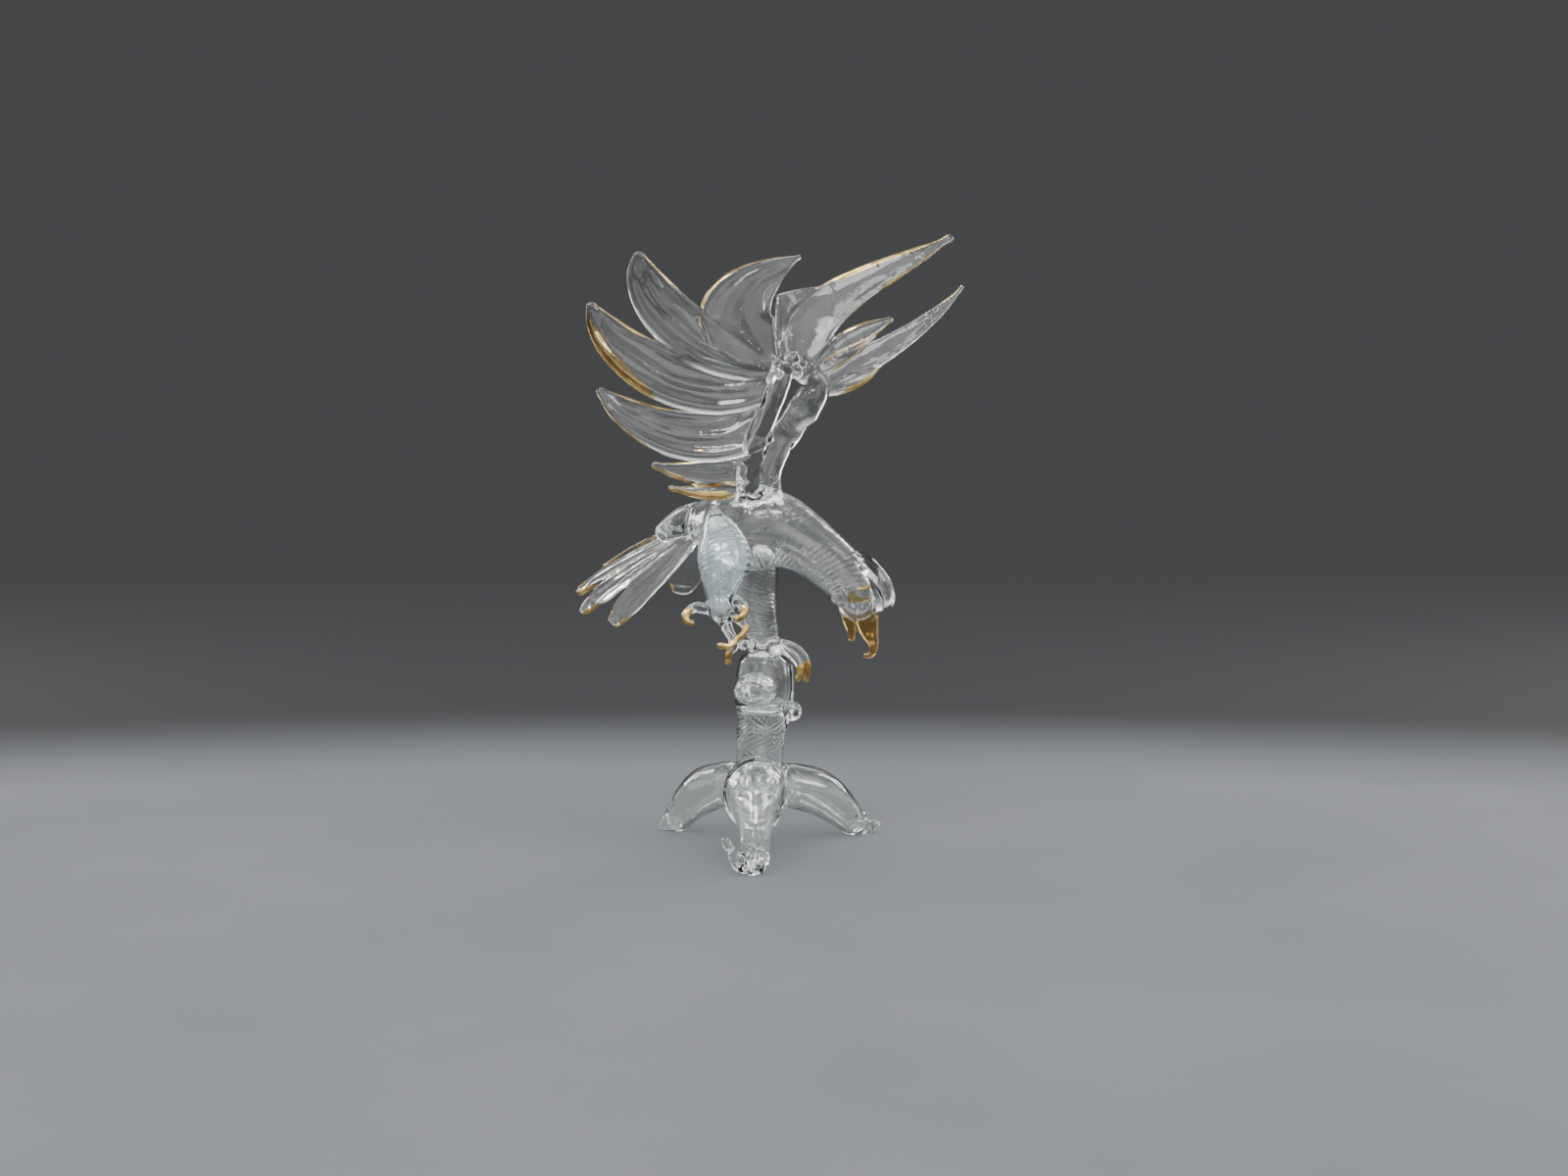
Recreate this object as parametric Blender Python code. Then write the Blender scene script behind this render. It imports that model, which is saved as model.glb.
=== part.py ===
"""Blown glass eagle with gold trim, landing on a glass branch that stands on three roots.

The eagle is one fused glass body: drawn limbs, pressed feathers and claws melted together.
The branch is a second fused body: a knotty trunk on three hollow roots with flat soles.
Metres, +Z up, +X the way the beak points, -Y the side of the lifted leg and the front root.
"""

import math

import bmesh
import bpy
from mathutils import Matrix, Vector

# Branch sizes
TRUNK_HEIGHT = 0.0635
TRUNK_RADIUS = 0.0089
TRUNK_LEAN_X = 0.0029
TRUNK_LEAN_Y = 0.0025
STUB_RADIUS = 0.0045
STUB_REACH = 0.0140
BUTTON_RADIUS = 0.0030
RIB_RADIUS = 0.0011
HUB_HEIGHT = 0.0185
ROOT_RADIUS = 0.0077
ROOT_REACH = 0.0385

# Eagle sizes: the drawn tubes and rods that a bird is worked from grow with its height
SEAT_GAP = 0.0003
EAGLE_HEIGHT = 0.1384
BODY_RADIUS = EAGLE_HEIGHT * 0.0940
THIGH_RADIUS = EAGLE_HEIGHT * 0.0614
ARM_RADIUS = EAGLE_HEIGHT * 0.0332
TOE_RADIUS = EAGLE_HEIGHT * 0.0152
CLAW_RADIUS = EAGLE_HEIGHT * 0.0065
FEATHER_THICKNESS = EAGLE_HEIGHT * 0.0217

# The branch's seat is a little wider than the sole that stands on it
SOLE_RADIUS = THIGH_RADIUS * 0.60
SEAT_RADIUS = SOLE_RADIUS * 1.06

# The eagle is drawn in millimetres, as it stands over the floor at this height above its sole
DRAWN_HEIGHT = 138.4
DRAWN_SOLE = Vector((1.5, 2.5, 63.8))

# Mesh fineness
TUBE_SIDES = 10
BODY_SIDES = 14
TOE_SIDES = 6
DOME_STEPS = (0.70,)
WELD = 0.00001

PERCH = Vector((TRUNK_LEAN_X, TRUNK_LEAN_Y, TRUNK_HEIGHT))
MIRROR_Z = Matrix.Scale(-1, 4, (0, 0, 1))


def circle(sides):
    """Unit circle as (across, through) pairs."""
    turn = 2 * math.pi / sides
    return [(math.cos(turn * k), math.sin(turn * k)) for k in range(sides)]


def both_faces(front):
    """Whole section from its front half: the back half is the same, turned round."""
    return front + [(-across, -through) for across, through in front]


# Feather sections: a raised rim on both edges, a web, and a quill along the middle
WIDE_BLADE = both_faces([(1.0, 0.0), (0.80, 0.95), (0.42, 0.50), (0.0, 1.0), (-0.42, 0.50), (-0.80, 0.95)])
SLIM_BLADE = both_faces([(1.0, 0.0), (0.66, 0.80), (0.0, 1.0), (-0.66, 0.80)])


def through_rows(rows, count):
    """Smooth curve through rows of numbers, sampled count times."""
    samples = []
    last = len(rows) - 1
    for k in range(count):
        place = last * k / (count - 1)
        i = min(int(place), last - 1)
        t = place - i
        a = rows[max(i - 1, 0)]
        b = rows[i]
        c = rows[i + 1]
        d = rows[min(i + 2, last)]
        samples.append(tuple(catmull(t, *values) for values in zip(a, b, c, d)))
    return samples


def catmull(t, a, b, c, d):
    bend = 2 * a - 5 * b + 4 * c - d
    swing = 3 * b - a - 3 * c + d
    return b + 0.5 * t * (c - a + t * (bend + t * swing))


def bezier(t, a, b, c, d):
    s = 1 - t
    return a * s ** 3 + b * (3 * s * s * t) + c * (3 * s * t * t) + d * t ** 3


def new_object(name, mesh):
    obj = bpy.data.objects.new(name, mesh)
    bpy.context.scene.collection.objects.link(obj)
    return obj


def loft(samples, section, facing, blunt=False):
    """Closed skin over sections along samples of (centre, across, through).

    facing is the way that the thin side of every section looks. A blunt limb starts with a
    flat end, inside the limb that it is melted to."""
    facing = Vector(facing)
    centres = [sample[0] for sample in samples]
    rings = []
    for i, (centre, across, through) in enumerate(samples):
        ahead = (centres[min(i + 1, len(centres) - 1)] - centres[max(i - 1, 0)]).normalized()
        side = facing.cross(ahead).normalized()
        front = ahead.cross(side)
        rings.append((centre, ahead, side * across, front * through))
    start = [] if blunt else dome(rings[0], -1)[::-1]
    rings = start + rings + dome(rings[-1], 1)

    bm = bmesh.new()
    loops = []
    for centre, _, side, front in rings:
        if side.length:
            loops.append([bm.verts.new(centre + side * u + front * v) for u, v in section])
        else:
            loops.append([bm.verts.new(centre)])
    sides = len(section)
    for near, far in zip(loops, loops[1:]):
        for k in range(sides):
            m = (k + 1) % sides
            if len(near) == 1:
                bm.faces.new((near[0], far[m], far[k]))
            elif len(far) == 1:
                bm.faces.new((near[k], near[m], far[0]))
            else:
                bm.faces.new((near[k], near[m], far[m], far[k]))
    if blunt:
        bm.faces.new(loops[0])
    bmesh.ops.recalc_face_normals(bm, faces=bm.faces)
    mesh = bpy.data.meshes.new("limb")
    bm.to_mesh(mesh)
    bm.free()
    return new_object("limb", mesh)


def dome(ring, sign):
    """Rings that round a limb's end off, down to a point on its axis."""
    centre, ahead, side, front = ring
    bulge = ahead * sign * min(side.length, front.length)
    rings = []
    for step in DOME_STEPS:
        shrink = math.sqrt(1 - step * step)
        rings.append((centre + bulge * step, ahead, side * shrink, front * shrink))
    rings.append((centre + bulge, ahead, side * 0, front * 0))
    return rings


def tube(rows, facing=(0, -1, 0), sides=TUBE_SIDES, steps=9, flat=1.0):
    """Round limb through rows of (x, y, z, radius), in metres."""
    samples = []
    for x, y, z, radius in through_rows(rows, steps):
        samples.append((Vector((x, y, z)), radius, radius * flat))
    return loft(samples, circle(sides), facing)


def fuse(name, limbs, material):
    """Melts limbs that cross each other into one closed body."""
    whole = new_object(name, bpy.data.meshes.new(name))
    rest = new_object("rest", bpy.data.meshes.new("rest"))
    join(whole, limbs[:1])
    join(rest, limbs[1:])
    union = whole.modifiers.new("Fuse", "BOOLEAN")
    union.operation = "UNION"
    union.solver = "EXACT"
    union.use_self = True
    union.object = rest
    depsgraph = bpy.context.evaluated_depsgraph_get()
    whole.data = bpy.data.meshes.new_from_object(whole.evaluated_get(depsgraph))
    whole.modifiers.clear()
    bpy.data.objects.remove(rest)
    weld(whole)
    whole.data.name = name
    whole.data.materials.append(material)
    whole.data.shade_smooth()
    whole.data.set_sharp_from_angle(angle=math.radians(50))
    return whole


def join(target, limbs):
    """Moves the skins of limbs into one mesh."""
    bm = bmesh.new()
    for limb in limbs:
        bm.from_mesh(limb.data)
        bpy.data.objects.remove(limb)
    bm.to_mesh(target.data)
    bm.free()


def weld(obj):
    """Closes the hairline edges that a union leaves where limbs nearly meet."""
    bm = bmesh.new()
    bm.from_mesh(obj.data)
    bmesh.ops.remove_doubles(bm, verts=bm.verts, dist=WELD)
    bm.to_mesh(obj.data)
    bm.free()


def cut_flat(obj, height):
    """Cuts a limb off level at a height, which leaves a flat sole, and closes it."""
    bm = bmesh.new()
    bm.from_mesh(obj.data)
    whole = bm.verts[:] + bm.edges[:] + bm.faces[:]
    cut = bmesh.ops.bisect_plane(
        bm, geom=whole, plane_co=(0, 0, height), plane_no=(0, 0, -1), clear_outer=True
    )
    rim = [item for item in cut["geom_cut"] if isinstance(item, bmesh.types.BMEdge)]
    bmesh.ops.edgeloop_fill(bm, edges=rim)
    bmesh.ops.recalc_face_normals(bm, faces=bm.faces)
    bm.to_mesh(obj.data)
    bm.free()
    return obj


def glass(name, tint):
    material = bpy.data.materials.new(name)
    material.use_nodes = True
    shader = material.node_tree.nodes["Principled BSDF"]
    shader.inputs["Base Color"].default_value = (*tint, 1)
    shader.inputs["Roughness"].default_value = 0.03
    shader.inputs["Metallic"].default_value = 0
    shader.inputs["IOR"].default_value = 1.47
    shader.inputs["Transmission Weight"].default_value = 1
    return material


def axis_at(height):
    """Middle of the leaning trunk at a height."""
    share = height / TRUNK_HEIGHT
    return Vector((TRUNK_LEAN_X * share, TRUNK_LEAN_Y * share, height))


def trunk():
    """Two drawn lengths of tube, waisted at their joint, with a level seat on top."""
    profile = (
        (0.20, 0.60), (0.27, 0.96), (0.36, 0.94), (0.46, 0.89), (0.60, 0.91),
        (0.66, 0.88), (0.74, 1.00), (0.86, 1.02), (0.95, 0.94),
    )
    rows = []
    for height, width in profile:
        rows.append((*axis_at(TRUNK_HEIGHT * height), TRUNK_RADIUS * width))
    shoulder = (*axis_at(TRUNK_HEIGHT * 0.985), (SEAT_RADIUS + TRUNK_RADIUS) / 2)
    crown = (*axis_at(TRUNK_HEIGHT * 1.02), SEAT_RADIUS * 0.88)
    body = tube(rows + [shoulder, crown], steps=17, sides=16)
    return cut_flat_top(body, TRUNK_HEIGHT)


def cut_flat_top(obj, height):
    """Cuts a limb off level from above, which leaves a flat seat."""
    obj.data.transform(MIRROR_Z)
    cut_flat(obj, -height)
    obj.data.transform(MIRROR_Z)
    obj.data.flip_normals()
    return obj


def toward(angle, distance, height):
    """Point at a distance from the hub, at a compass angle in degrees."""
    turn = math.radians(angle)
    return Vector((distance * math.cos(turn), distance * math.sin(turn), height))


# Roots from the hub to the sole: (share of the reach, share of the hub's height, share of the radius)
SIDE_ROOT = (
    (0.05, 1.02, 0.92), (0.24, 1.02, 1.0), (0.42, 0.96, 1.0), (0.58, 0.83, 1.0),
    (0.73, 0.60, 0.88), (0.86, 0.32, 0.70), (0.95, 0.14, 0.56), (1.0, 0.04, 0.46),
)
FRONT_ROOT = (
    (0.05, 1.00, 0.98), (0.20, 1.16, 1.22), (0.36, 1.19, 1.30), (0.52, 1.04, 1.14),
    (0.66, 0.76, 0.86), (0.79, 0.50, 0.78), (0.91, 0.27, 0.78), (1.0, 0.10, 0.72),
)


def root(profile, angle, reach):
    """Hollow root that leaves the hub, arches over and stands on its own sole."""
    rows = []
    for along, up, width in profile:
        rows.append((*toward(angle, reach * along, HUB_HEIGHT * up), ROOT_RADIUS * width))
    return cut_flat(tube(rows, facing=toward(angle + 90, 1, 0), steps=11), 0)


def root_toe(angle, reach, turn, length, rise):
    """Pinched toe that runs out of a root's foot and lifts off the floor."""
    foot = toward(angle, reach * 0.95, 0)
    rows = []
    for along, up, width in ((0, 0.35, 0.42), (0.35, 0.3, 0.38), (0.7, 0.6, 0.25), (1, 1, 0.12)):
        out = toward(angle + turn, length * along, 0)
        lift = Vector((0, 0, ROOT_RADIUS * 0.3 + (rise - ROOT_RADIUS * 0.3) * up * along))
        rows.append((*(foot + out + lift), ROOT_RADIUS * width))
    return cut_flat(tube(rows, facing=(0, 0, 1), sides=8, steps=6), 0)


def stub():
    """Short branch end on the trunk's near side."""
    start = axis_at(TRUNK_HEIGHT * 0.85)
    out = Vector((-0.46, -0.87, -0.15)).normalized()
    rows = []
    for along, width in ((0.1, 0.9), (0.45, 1.0), (0.72, 1.06), (0.92, 0.95), (1.0, 0.72)):
        rows.append((*(start + out * (STUB_REACH * along)), STUB_RADIUS * width))
    return tube(rows, facing=(0, 0, 1), steps=7)


def button():
    """Solid glass button that closes a branch scar on the trunk's right side."""
    middle = axis_at(TRUNK_HEIGHT * 0.715) + Vector((TRUNK_RADIUS * 1.1, -TRUNK_RADIUS * 0.05, 0))
    rows = []
    for across in (-0.5, 0.0, 0.5):
        centre = middle + Vector((0, 0, BUTTON_RADIUS * across))
        rows.append((*centre, BUTTON_RADIUS * (1 - 0.5 * across * across)))
    return tube(rows, steps=4, sides=10)


def scar_rib():
    """Thin drawn rod that runs down the trunk's right side through the button."""
    rows = []
    for height, out in ((0.93, 0.97), (0.84, 1.04), (0.72, 1.02), (0.655, 0.92), (0.61, 0.80)):
        centre = axis_at(TRUNK_HEIGHT * height) + Vector((TRUNK_RADIUS * out, 0, 0))
        rows.append((*centre, RIB_RADIUS))
    return tube(rows, sides=TOE_SIDES, steps=8)


# Each root: its profile, compass angle, reach, and its toe's turn, length and lift
ROOTS = (
    (FRONT_ROOT, -91.5, ROOT_REACH * 1.02, -62, ROOT_RADIUS * 1.5, ROOT_RADIUS * 1.5),
    (SIDE_ROOT, 144.5, ROOT_REACH * 0.95, 15, ROOT_RADIUS * 0.7, ROOT_RADIUS * 0.12),
    (SIDE_ROOT, 22.5, ROOT_REACH * 1.02, -8, ROOT_RADIUS * 0.95, ROOT_RADIUS * 0.25),
)


def branch():
    limbs = [trunk()]
    for profile, angle, reach, turn, length, rise in ROOTS:
        limbs.append(root(profile, angle, reach))
        limbs.append(root_toe(angle, reach, turn, length, rise))
    limbs += [stub(), button(), scar_rib()]
    return fuse("branch_stand", limbs, glass("branch glass", (0.93, 0.97, 0.94)))


def placed(point):
    """Point of the eagle's drawing, in metres, on top of the branch."""
    offset = Vector(point) - DRAWN_SOLE
    return PERCH + Vector((0, 0, SEAT_GAP)) + offset * (EAGLE_HEIGHT / DRAWN_HEIGHT)


def limb(rows, radius, **shape):
    """Round limb of the eagle through drawn (x, y, z, share of radius) rows."""
    real = [(*placed(row[:3]), row[3] * radius) for row in rows]
    return tube(real, **shape)


def feather(root_at, leave, arrive, tip, width, fullest=0.45, taper=(2.6, 0.65), base=0.3,
            facing=(0, -1, 0), steps=8, section=WIDE_BLADE):
    """Pressed feather along a cubic curve.

    Its half width grows from a share at the root to the fullest place, then tapers to a
    round tip: a high first taper power keeps it wide, a low second one rounds the tip."""
    points = [placed(point) for point in (root_at, leave, arrive, tip)]
    half = FEATHER_THICKNESS / 2
    samples = []
    for k in range(steps):
        even = k / (steps - 1)
        t = (even + math.sin(math.pi / 2 * even)) / 2
        if t < fullest:
            share = base + (1 - base) * math.sin(math.pi / 2 * t / fullest)
        else:
            share = (1 - ((t - fullest) / (1 - fullest)) ** taper[0]) ** taper[1]
        across = max(width * share * EAGLE_HEIGHT / DRAWN_HEIGHT, half * 0.6)
        samples.append((bezier(t, *points), across, half * (1.15 - 0.5 * t)))
    return loft(samples, section, facing, blunt=True)


NEAR_WING = (
    dict(root_at=(7, -22, 158), leave=(-8.5, -22, 163), arrive=(-14, -22, 187), tip=(13.8, -22.5, 193),
         width=11.6, fullest=0.42, taper=(1.2, 0.85), base=0.4, facing=(-0.1, -0.98, 0.06)),
    dict(root_at=(7, -22, 157.5), leave=(-10, -23.8, 159), arrive=(-38, -26.5, 176), tip=(-36.3, -30, 194),
         width=8.3, fullest=0.48, taper=(2.6, 0.7), facing=(0.0, -0.99, 0.12)),
    dict(root_at=(6, -22, 155.5), leave=(-11, -24, 144.3), arrive=(-46, -29, 159), tip=(-51.6, -33.5, 178.8),
         width=8.8, fullest=0.42, taper=(2.2, 0.7), base=0.5, facing=(0.1, -0.98, 0.15)),
    dict(root_at=(2, -20.5, 141), leave=(-13, -25, 133), arrive=(-35, -28, 136), tip=(-49.6, -32, 152.2),
         width=8.1, fullest=0.35, taper=(2.0, 0.7), base=0.8, facing=(0.1, -0.96, 0.25)),
    dict(root_at=(-2, -15, 126), leave=(-14, -18.5, 124.6), arrive=(-25, -21.5, 124.6),
         tip=(-33.6, -24, 128.2), width=4.9, fullest=0.2, taper=(1.6, 0.8), base=0.9,
         facing=(0.1, -0.9, 0.4), steps=6, section=SLIM_BLADE),
    dict(root_at=(-3, -14.5, 120.5), leave=(-13, -19, 118.3), arrive=(-21, -23, 119), tip=(-28.3, -26, 121),
         width=2.9, fullest=0.3, taper=(1.6, 0.8), facing=(0.1, -0.9, 0.4), steps=6, section=SLIM_BLADE),
)

FAR_WING_FACING = (0.32, -0.86, 0.39)
FAR_WING = (
    dict(root_at=(13, 2, 156), leave=(8, 9, 178.5), arrive=(45, 27, 188.5), tip=(65.3, 44.5, 200.8),
         width=8.3, fullest=0.25, taper=(1.15, 0.8), base=0.75, facing=(0.38, -0.86, 0.33), steps=9),
    dict(root_at=(13, 3, 157), leave=(7, 6.5, 168), arrive=(4.5, 10, 178), tip=(6.4, 18, 186),
         width=4.6, fullest=0.5, taper=(1.8, 0.7), facing=(0.1, -0.9, 0.4), steps=6, section=SLIM_BLADE),
    dict(root_at=(15.5, 3, 155.5), leave=(25, 9.5, 164.5), arrive=(35, 16, 169), tip=(44, 23.5, 173.2),
         width=4.1, fullest=0.5, taper=(1.6, 0.8), facing=FAR_WING_FACING, steps=6, section=SLIM_BLADE),
    dict(root_at=(16, 2, 154.3), leave=(23, 5, 158.5), arrive=(31, 9, 163), tip=(38, 13.5, 168),
         width=2.3, fullest=0.4, taper=(1.6, 0.8), facing=(0.5, -0.8, 0.3), steps=6, section=SLIM_BLADE),
    dict(root_at=(15.5, 2, 152), leave=(32, 9, 157), arrive=(58, 27, 171), tip=(68.8, 38.5, 184.3),
         width=5.0, fullest=0.28, taper=(1.1, 0.85), base=0.5, facing=FAR_WING_FACING, steps=9),
    dict(root_at=(17.2, 2.4, 149.2), leave=(27, 4.5, 151), arrive=(35, 8, 154), tip=(39.8, 10.5, 158.6),
         width=2.9, fullest=0.45, taper=(1.6, 0.8), facing=FAR_WING_FACING, steps=6, section=SLIM_BLADE),
)

TAIL_TAPER = (3.2, 0.5)
TAIL = (
    dict(root_at=(-18.5, 7, 104.5), leave=(-28.5, 7, 94.5), arrive=(-40, 7, 84.5), tip=(-49.3, 7.5, 72.6),
         width=4.9, fullest=0.7, taper=TAIL_TAPER, facing=(-0.48, -0.76, 0.46)),
    dict(root_at=(-19, 8.5, 105), leave=(-32, 10.5, 97), arrive=(-46.5, 13.5, 88), tip=(-60.3, 16.2, 75.3),
         width=4.3, fullest=0.7, taper=TAIL_TAPER, facing=(-0.5, -0.55, 0.65)),
    dict(root_at=(-19, 10, 106), leave=(-32, 13.5, 99.5), arrive=(-48, 18.5, 91.5), tip=(-62, 22, 81.2),
         width=4.3, fullest=0.7, taper=TAIL_TAPER, facing=(-0.53, -0.32, 0.79)),
    dict(root_at=(-18.6, 12, 105.8), leave=(-31, 21, 102.5), arrive=(-44, 30, 96), tip=(-54, 38, 87.5),
         width=4.5, fullest=0.7, taper=TAIL_TAPER, facing=(-0.45, 0.1, 0.87)),
    dict(root_at=(-18.5, 13, 105), leave=(-22, 27, 98), arrive=(-26, 40, 89), tip=(-28, 48, 77.5),
         width=5.6, fullest=0.7, taper=TAIL_TAPER, facing=(0.05, 0.57, 0.8)),
)


def torso():
    """Hollow blown body that runs into the bent neck and the domed head."""
    rows = (
        (-22.5, 10.5, 106.5, 0.36), (-16.5, 6, 106.5, 0.66), (-9.5, 0.5, 105.7, 0.94),
        (-2.2, -4, 105.6, 1.0), (5.5, -7, 105.8, 0.97), (14, -9, 102, 0.80), (22, -11, 96.3, 0.70),
        (28, -12.5, 90.7, 0.66), (31.3, -13.5, 85, 0.63), (32.2, -14, 80.5, 0.50),
    )
    return limb(rows, BODY_RADIUS, sides=BODY_SIDES, steps=19)


def rump():
    """Pinched lobe that carries the tail feathers."""
    rows = (
        (-15, 5, 107.5, 0.55), (-22.4, 9.2, 107.3, 0.43), (-27.6, 11.6, 105.4, 0.34),
        (-31.6, 13.2, 103, 0.25),
    )
    return limb(rows, BODY_RADIUS, sides=10, steps=7)


def head():
    """Brow ridges, open beak and its hook."""
    beak = BODY_RADIUS
    brow = ((31.5, -14.2, 97.3, 0.10), (35.8, -14.8, 95.2, 0.13), (39.2, -15.2, 90.5, 0.17),
            (41.2, -15.5, 85.2, 0.15), (40.4, -15.5, 81.8, 0.11), (37.8, -15.5, 80.3, 0.08))
    brow_near = ((29.0, -19, 93.5, 0.08), (34.3, -20, 90, 0.12), (37.5, -20, 85, 0.13),
                 (37.8, -19, 81.3, 0.09))
    upper = ((33.8, -14, 82.5, 0.33), (34.6, -14.2, 78.5, 0.31), (35.3, -14.5, 74.5, 0.25),
             (36.1, -14.7, 70.8, 0.15), (36.1, -14.7, 68.2, 0.10), (34.8, -14.7, 66.4, 0.085),
             (33.2, -14.7, 66.2, 0.09))
    lower = ((28.5, -14, 82.5, 0.22), (28.2, -14.2, 78.5, 0.16), (28.5, -14.5, 74.8, 0.12),
             (29.4, -14.7, 71.3, 0.075))
    return [
        limb(brow, beak, sides=8, steps=8),
        limb(brow_near, beak, sides=8, steps=7),
        limb(upper, beak, sides=10, steps=11, flat=0.72),
        limb(lower, beak, sides=8, steps=6, flat=0.9),
    ]


def legs():
    """Lifted near thigh, and the far leg that stands on the branch with a level sole."""
    sole = SOLE_RADIUS / THIGH_RADIUS
    near = ((-13, -4, 111.5, 0.50), (-13.5, -9, 106, 0.62), (-12.3, -13, 101, 0.85),
            (-11.1, -16, 96, 1.0), (-11.7, -18, 90.7, 0.83), (-12.2, -19, 85.5, 0.58),
            (-12, -20.5, 81.5, 0.50))
    far = ((1, 0, 99, 0.62), (0, 1.5, 93, 0.73), (-1, 2.3, 85, 0.78), (-0.4, 2.5, 77, 0.76),
           (1.2, 2.5, 69.5, 0.64), (1.5, 2.5, 65, sole), (1.5, 2.5, 61, sole))
    standing = limb(far, THIGH_RADIUS, steps=9)
    return [limb(near, THIGH_RADIUS, steps=9), cut_flat(standing, placed(DRAWN_SOLE).z)]


def arms():
    """Leaf-shaped wing bones from the shoulders up to the hub of each wing's feathers."""
    near = ((-2, -8, 112, 1.05), (-2.7, -12.5, 118.5, 0.95), (-2.9, -16, 124.7, 0.87),
            (-1, -19, 133.6, 0.82), (2.5, -21, 143, 0.76), (6.0, -22, 151.5, 0.74), (7.5, -22, 157.5, 0.82))
    far = ((2, -3, 111, 1.15), (2.4, -0.5, 117.5, 1.05), (3.6, 1, 123.5, 0.90), (7.4, 2, 132.2, 1.0),
           (12.0, 3, 140.8, 1.2), (15.6, 3.4, 148.5, 1.28), (13.8, 3.2, 156.5, 1.05))
    return [limb(near, ARM_RADIUS, steps=10), limb(far, ARM_RADIUS, steps=10)]


def toe(rows):
    """Toe through drawn points: it thins from the foot to its claw and ends in a bead."""
    last = len(rows) - 1
    real = []
    for i, row in enumerate(rows):
        radius = TOE_RADIUS + (CLAW_RADIUS - TOE_RADIUS) * i / last
        real.append((*placed(row), radius))
    return tube(real, sides=TOE_SIDES, steps=2 * last + 1, facing=(0.2, -0.9, 0.4))


def feet():
    """Six toes with hooked claws: three on each foot, and the near foot's palm."""
    palm = ((-12.1, -19.5, 84.5, 0.50), (-11.8, -21, 82, 0.52), (-11, -22.2, 80, 0.38))
    near_foot = (
        ((-12.9, -20.5, 82), (-16.8, -22, 82.4), (-20.6, -24, 82.6), (-23.2, -25.5, 81), (-22.7, -26, 78.6),
         (-20.6, -26, 78)),
        ((-9.8, -21.5, 83), (-6.4, -24.5, 84), (-4, -26.5, 82.7), (-4.2, -27.5, 80.4), (-6.2, -27.8, 79.4)),
        ((-10.6, -22, 80.8), (-8.4, -24.5, 78.4), (-5.8, -26.5, 76.2), (-5.4, -28, 73.8),
         (-8.4, -28.8, 71.8), (-11.4, -29, 71.5)),
    )
    far_foot = (
        ((2.5, 1.5, 66.4), (7, 0, 66.6), (11, -1.5, 65.6), (14, -2.2, 62.6), (15.8, -2.2, 59),
         (15.8, -1.8, 55.8)),
        ((1.7, 0.4, 66.1), (5.5, -4, 66.4), (9, -6.5, 65.2), (11.7, -7.6, 62.2), (12.9, -7.6, 58.8),
         (12.4, -7, 56)),
        ((0.3, 0.9, 66.7), (-4.5, -4.5, 66.8), (-7.5, -7.5, 66), (-9.6, -9.4, 64), (-10.2, -9.6, 61)),
    )
    limbs = [limb(palm, THIGH_RADIUS, sides=10, steps=6)]
    return limbs + [toe(rows) for rows in near_foot + far_foot]


def eagle():
    limbs = [torso(), rump()] + head() + legs() + arms() + feet()
    limbs += [feather(**shape) for shape in NEAR_WING + FAR_WING + TAIL]
    return fuse("eagle", limbs, glass("eagle glass", (0.97, 0.985, 0.98)))


def stand_on_origin(objects):
    """Moves the figure so that the middle of its box is over the origin, soles on z = 0."""
    corners = [vertex.co for obj in objects for vertex in obj.data.vertices]
    low = Vector(min(corner[k] for corner in corners) for k in range(3))
    high = Vector(max(corner[k] for corner in corners) for k in range(3))
    shift = Vector((-(low.x + high.x) / 2, -(low.y + high.y) / 2, -low.z))
    for obj in objects:
        for vertex in obj.data.vertices:
            vertex.co += shift


def main():
    for obj in list(bpy.data.objects):
        bpy.data.objects.remove(obj)
    stand_on_origin([branch(), eagle()])


main()
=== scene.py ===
"""Looks of the blown glass eagle: fused clear glass, hollow where it was blown, with fired gold.

Lengths are drawn in millimetres, in the same drawing as the solids, and every skin is turned
into metres when it is made.
"""

import math
from collections import namedtuple

import bmesh
import bpy
import numpy as np
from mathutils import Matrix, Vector, noise
from mathutils.bvhtree import BVHTree
from mathutils.interpolate import poly_3d_calc

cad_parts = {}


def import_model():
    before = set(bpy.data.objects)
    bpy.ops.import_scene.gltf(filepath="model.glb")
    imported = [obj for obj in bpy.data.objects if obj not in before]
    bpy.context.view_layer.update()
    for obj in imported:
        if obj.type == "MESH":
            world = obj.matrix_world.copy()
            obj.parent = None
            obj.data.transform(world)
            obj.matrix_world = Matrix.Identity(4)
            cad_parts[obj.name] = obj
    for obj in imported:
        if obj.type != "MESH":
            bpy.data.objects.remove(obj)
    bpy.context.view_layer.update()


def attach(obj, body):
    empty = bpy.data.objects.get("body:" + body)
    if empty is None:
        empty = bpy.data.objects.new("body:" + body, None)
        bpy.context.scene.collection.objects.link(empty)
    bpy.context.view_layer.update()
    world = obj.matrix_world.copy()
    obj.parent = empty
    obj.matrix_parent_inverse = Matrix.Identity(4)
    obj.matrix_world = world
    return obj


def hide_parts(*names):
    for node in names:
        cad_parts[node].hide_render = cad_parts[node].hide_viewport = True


MM = 0.001

# From the drawings of the eagle and of the branch to the middle of the figure's box
EAGLE_SHIFT = np.array((-3.424, -2.081, 0.0))
BRANCH_SHIFT = np.array((-4.824, -2.081, 0.0))

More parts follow.
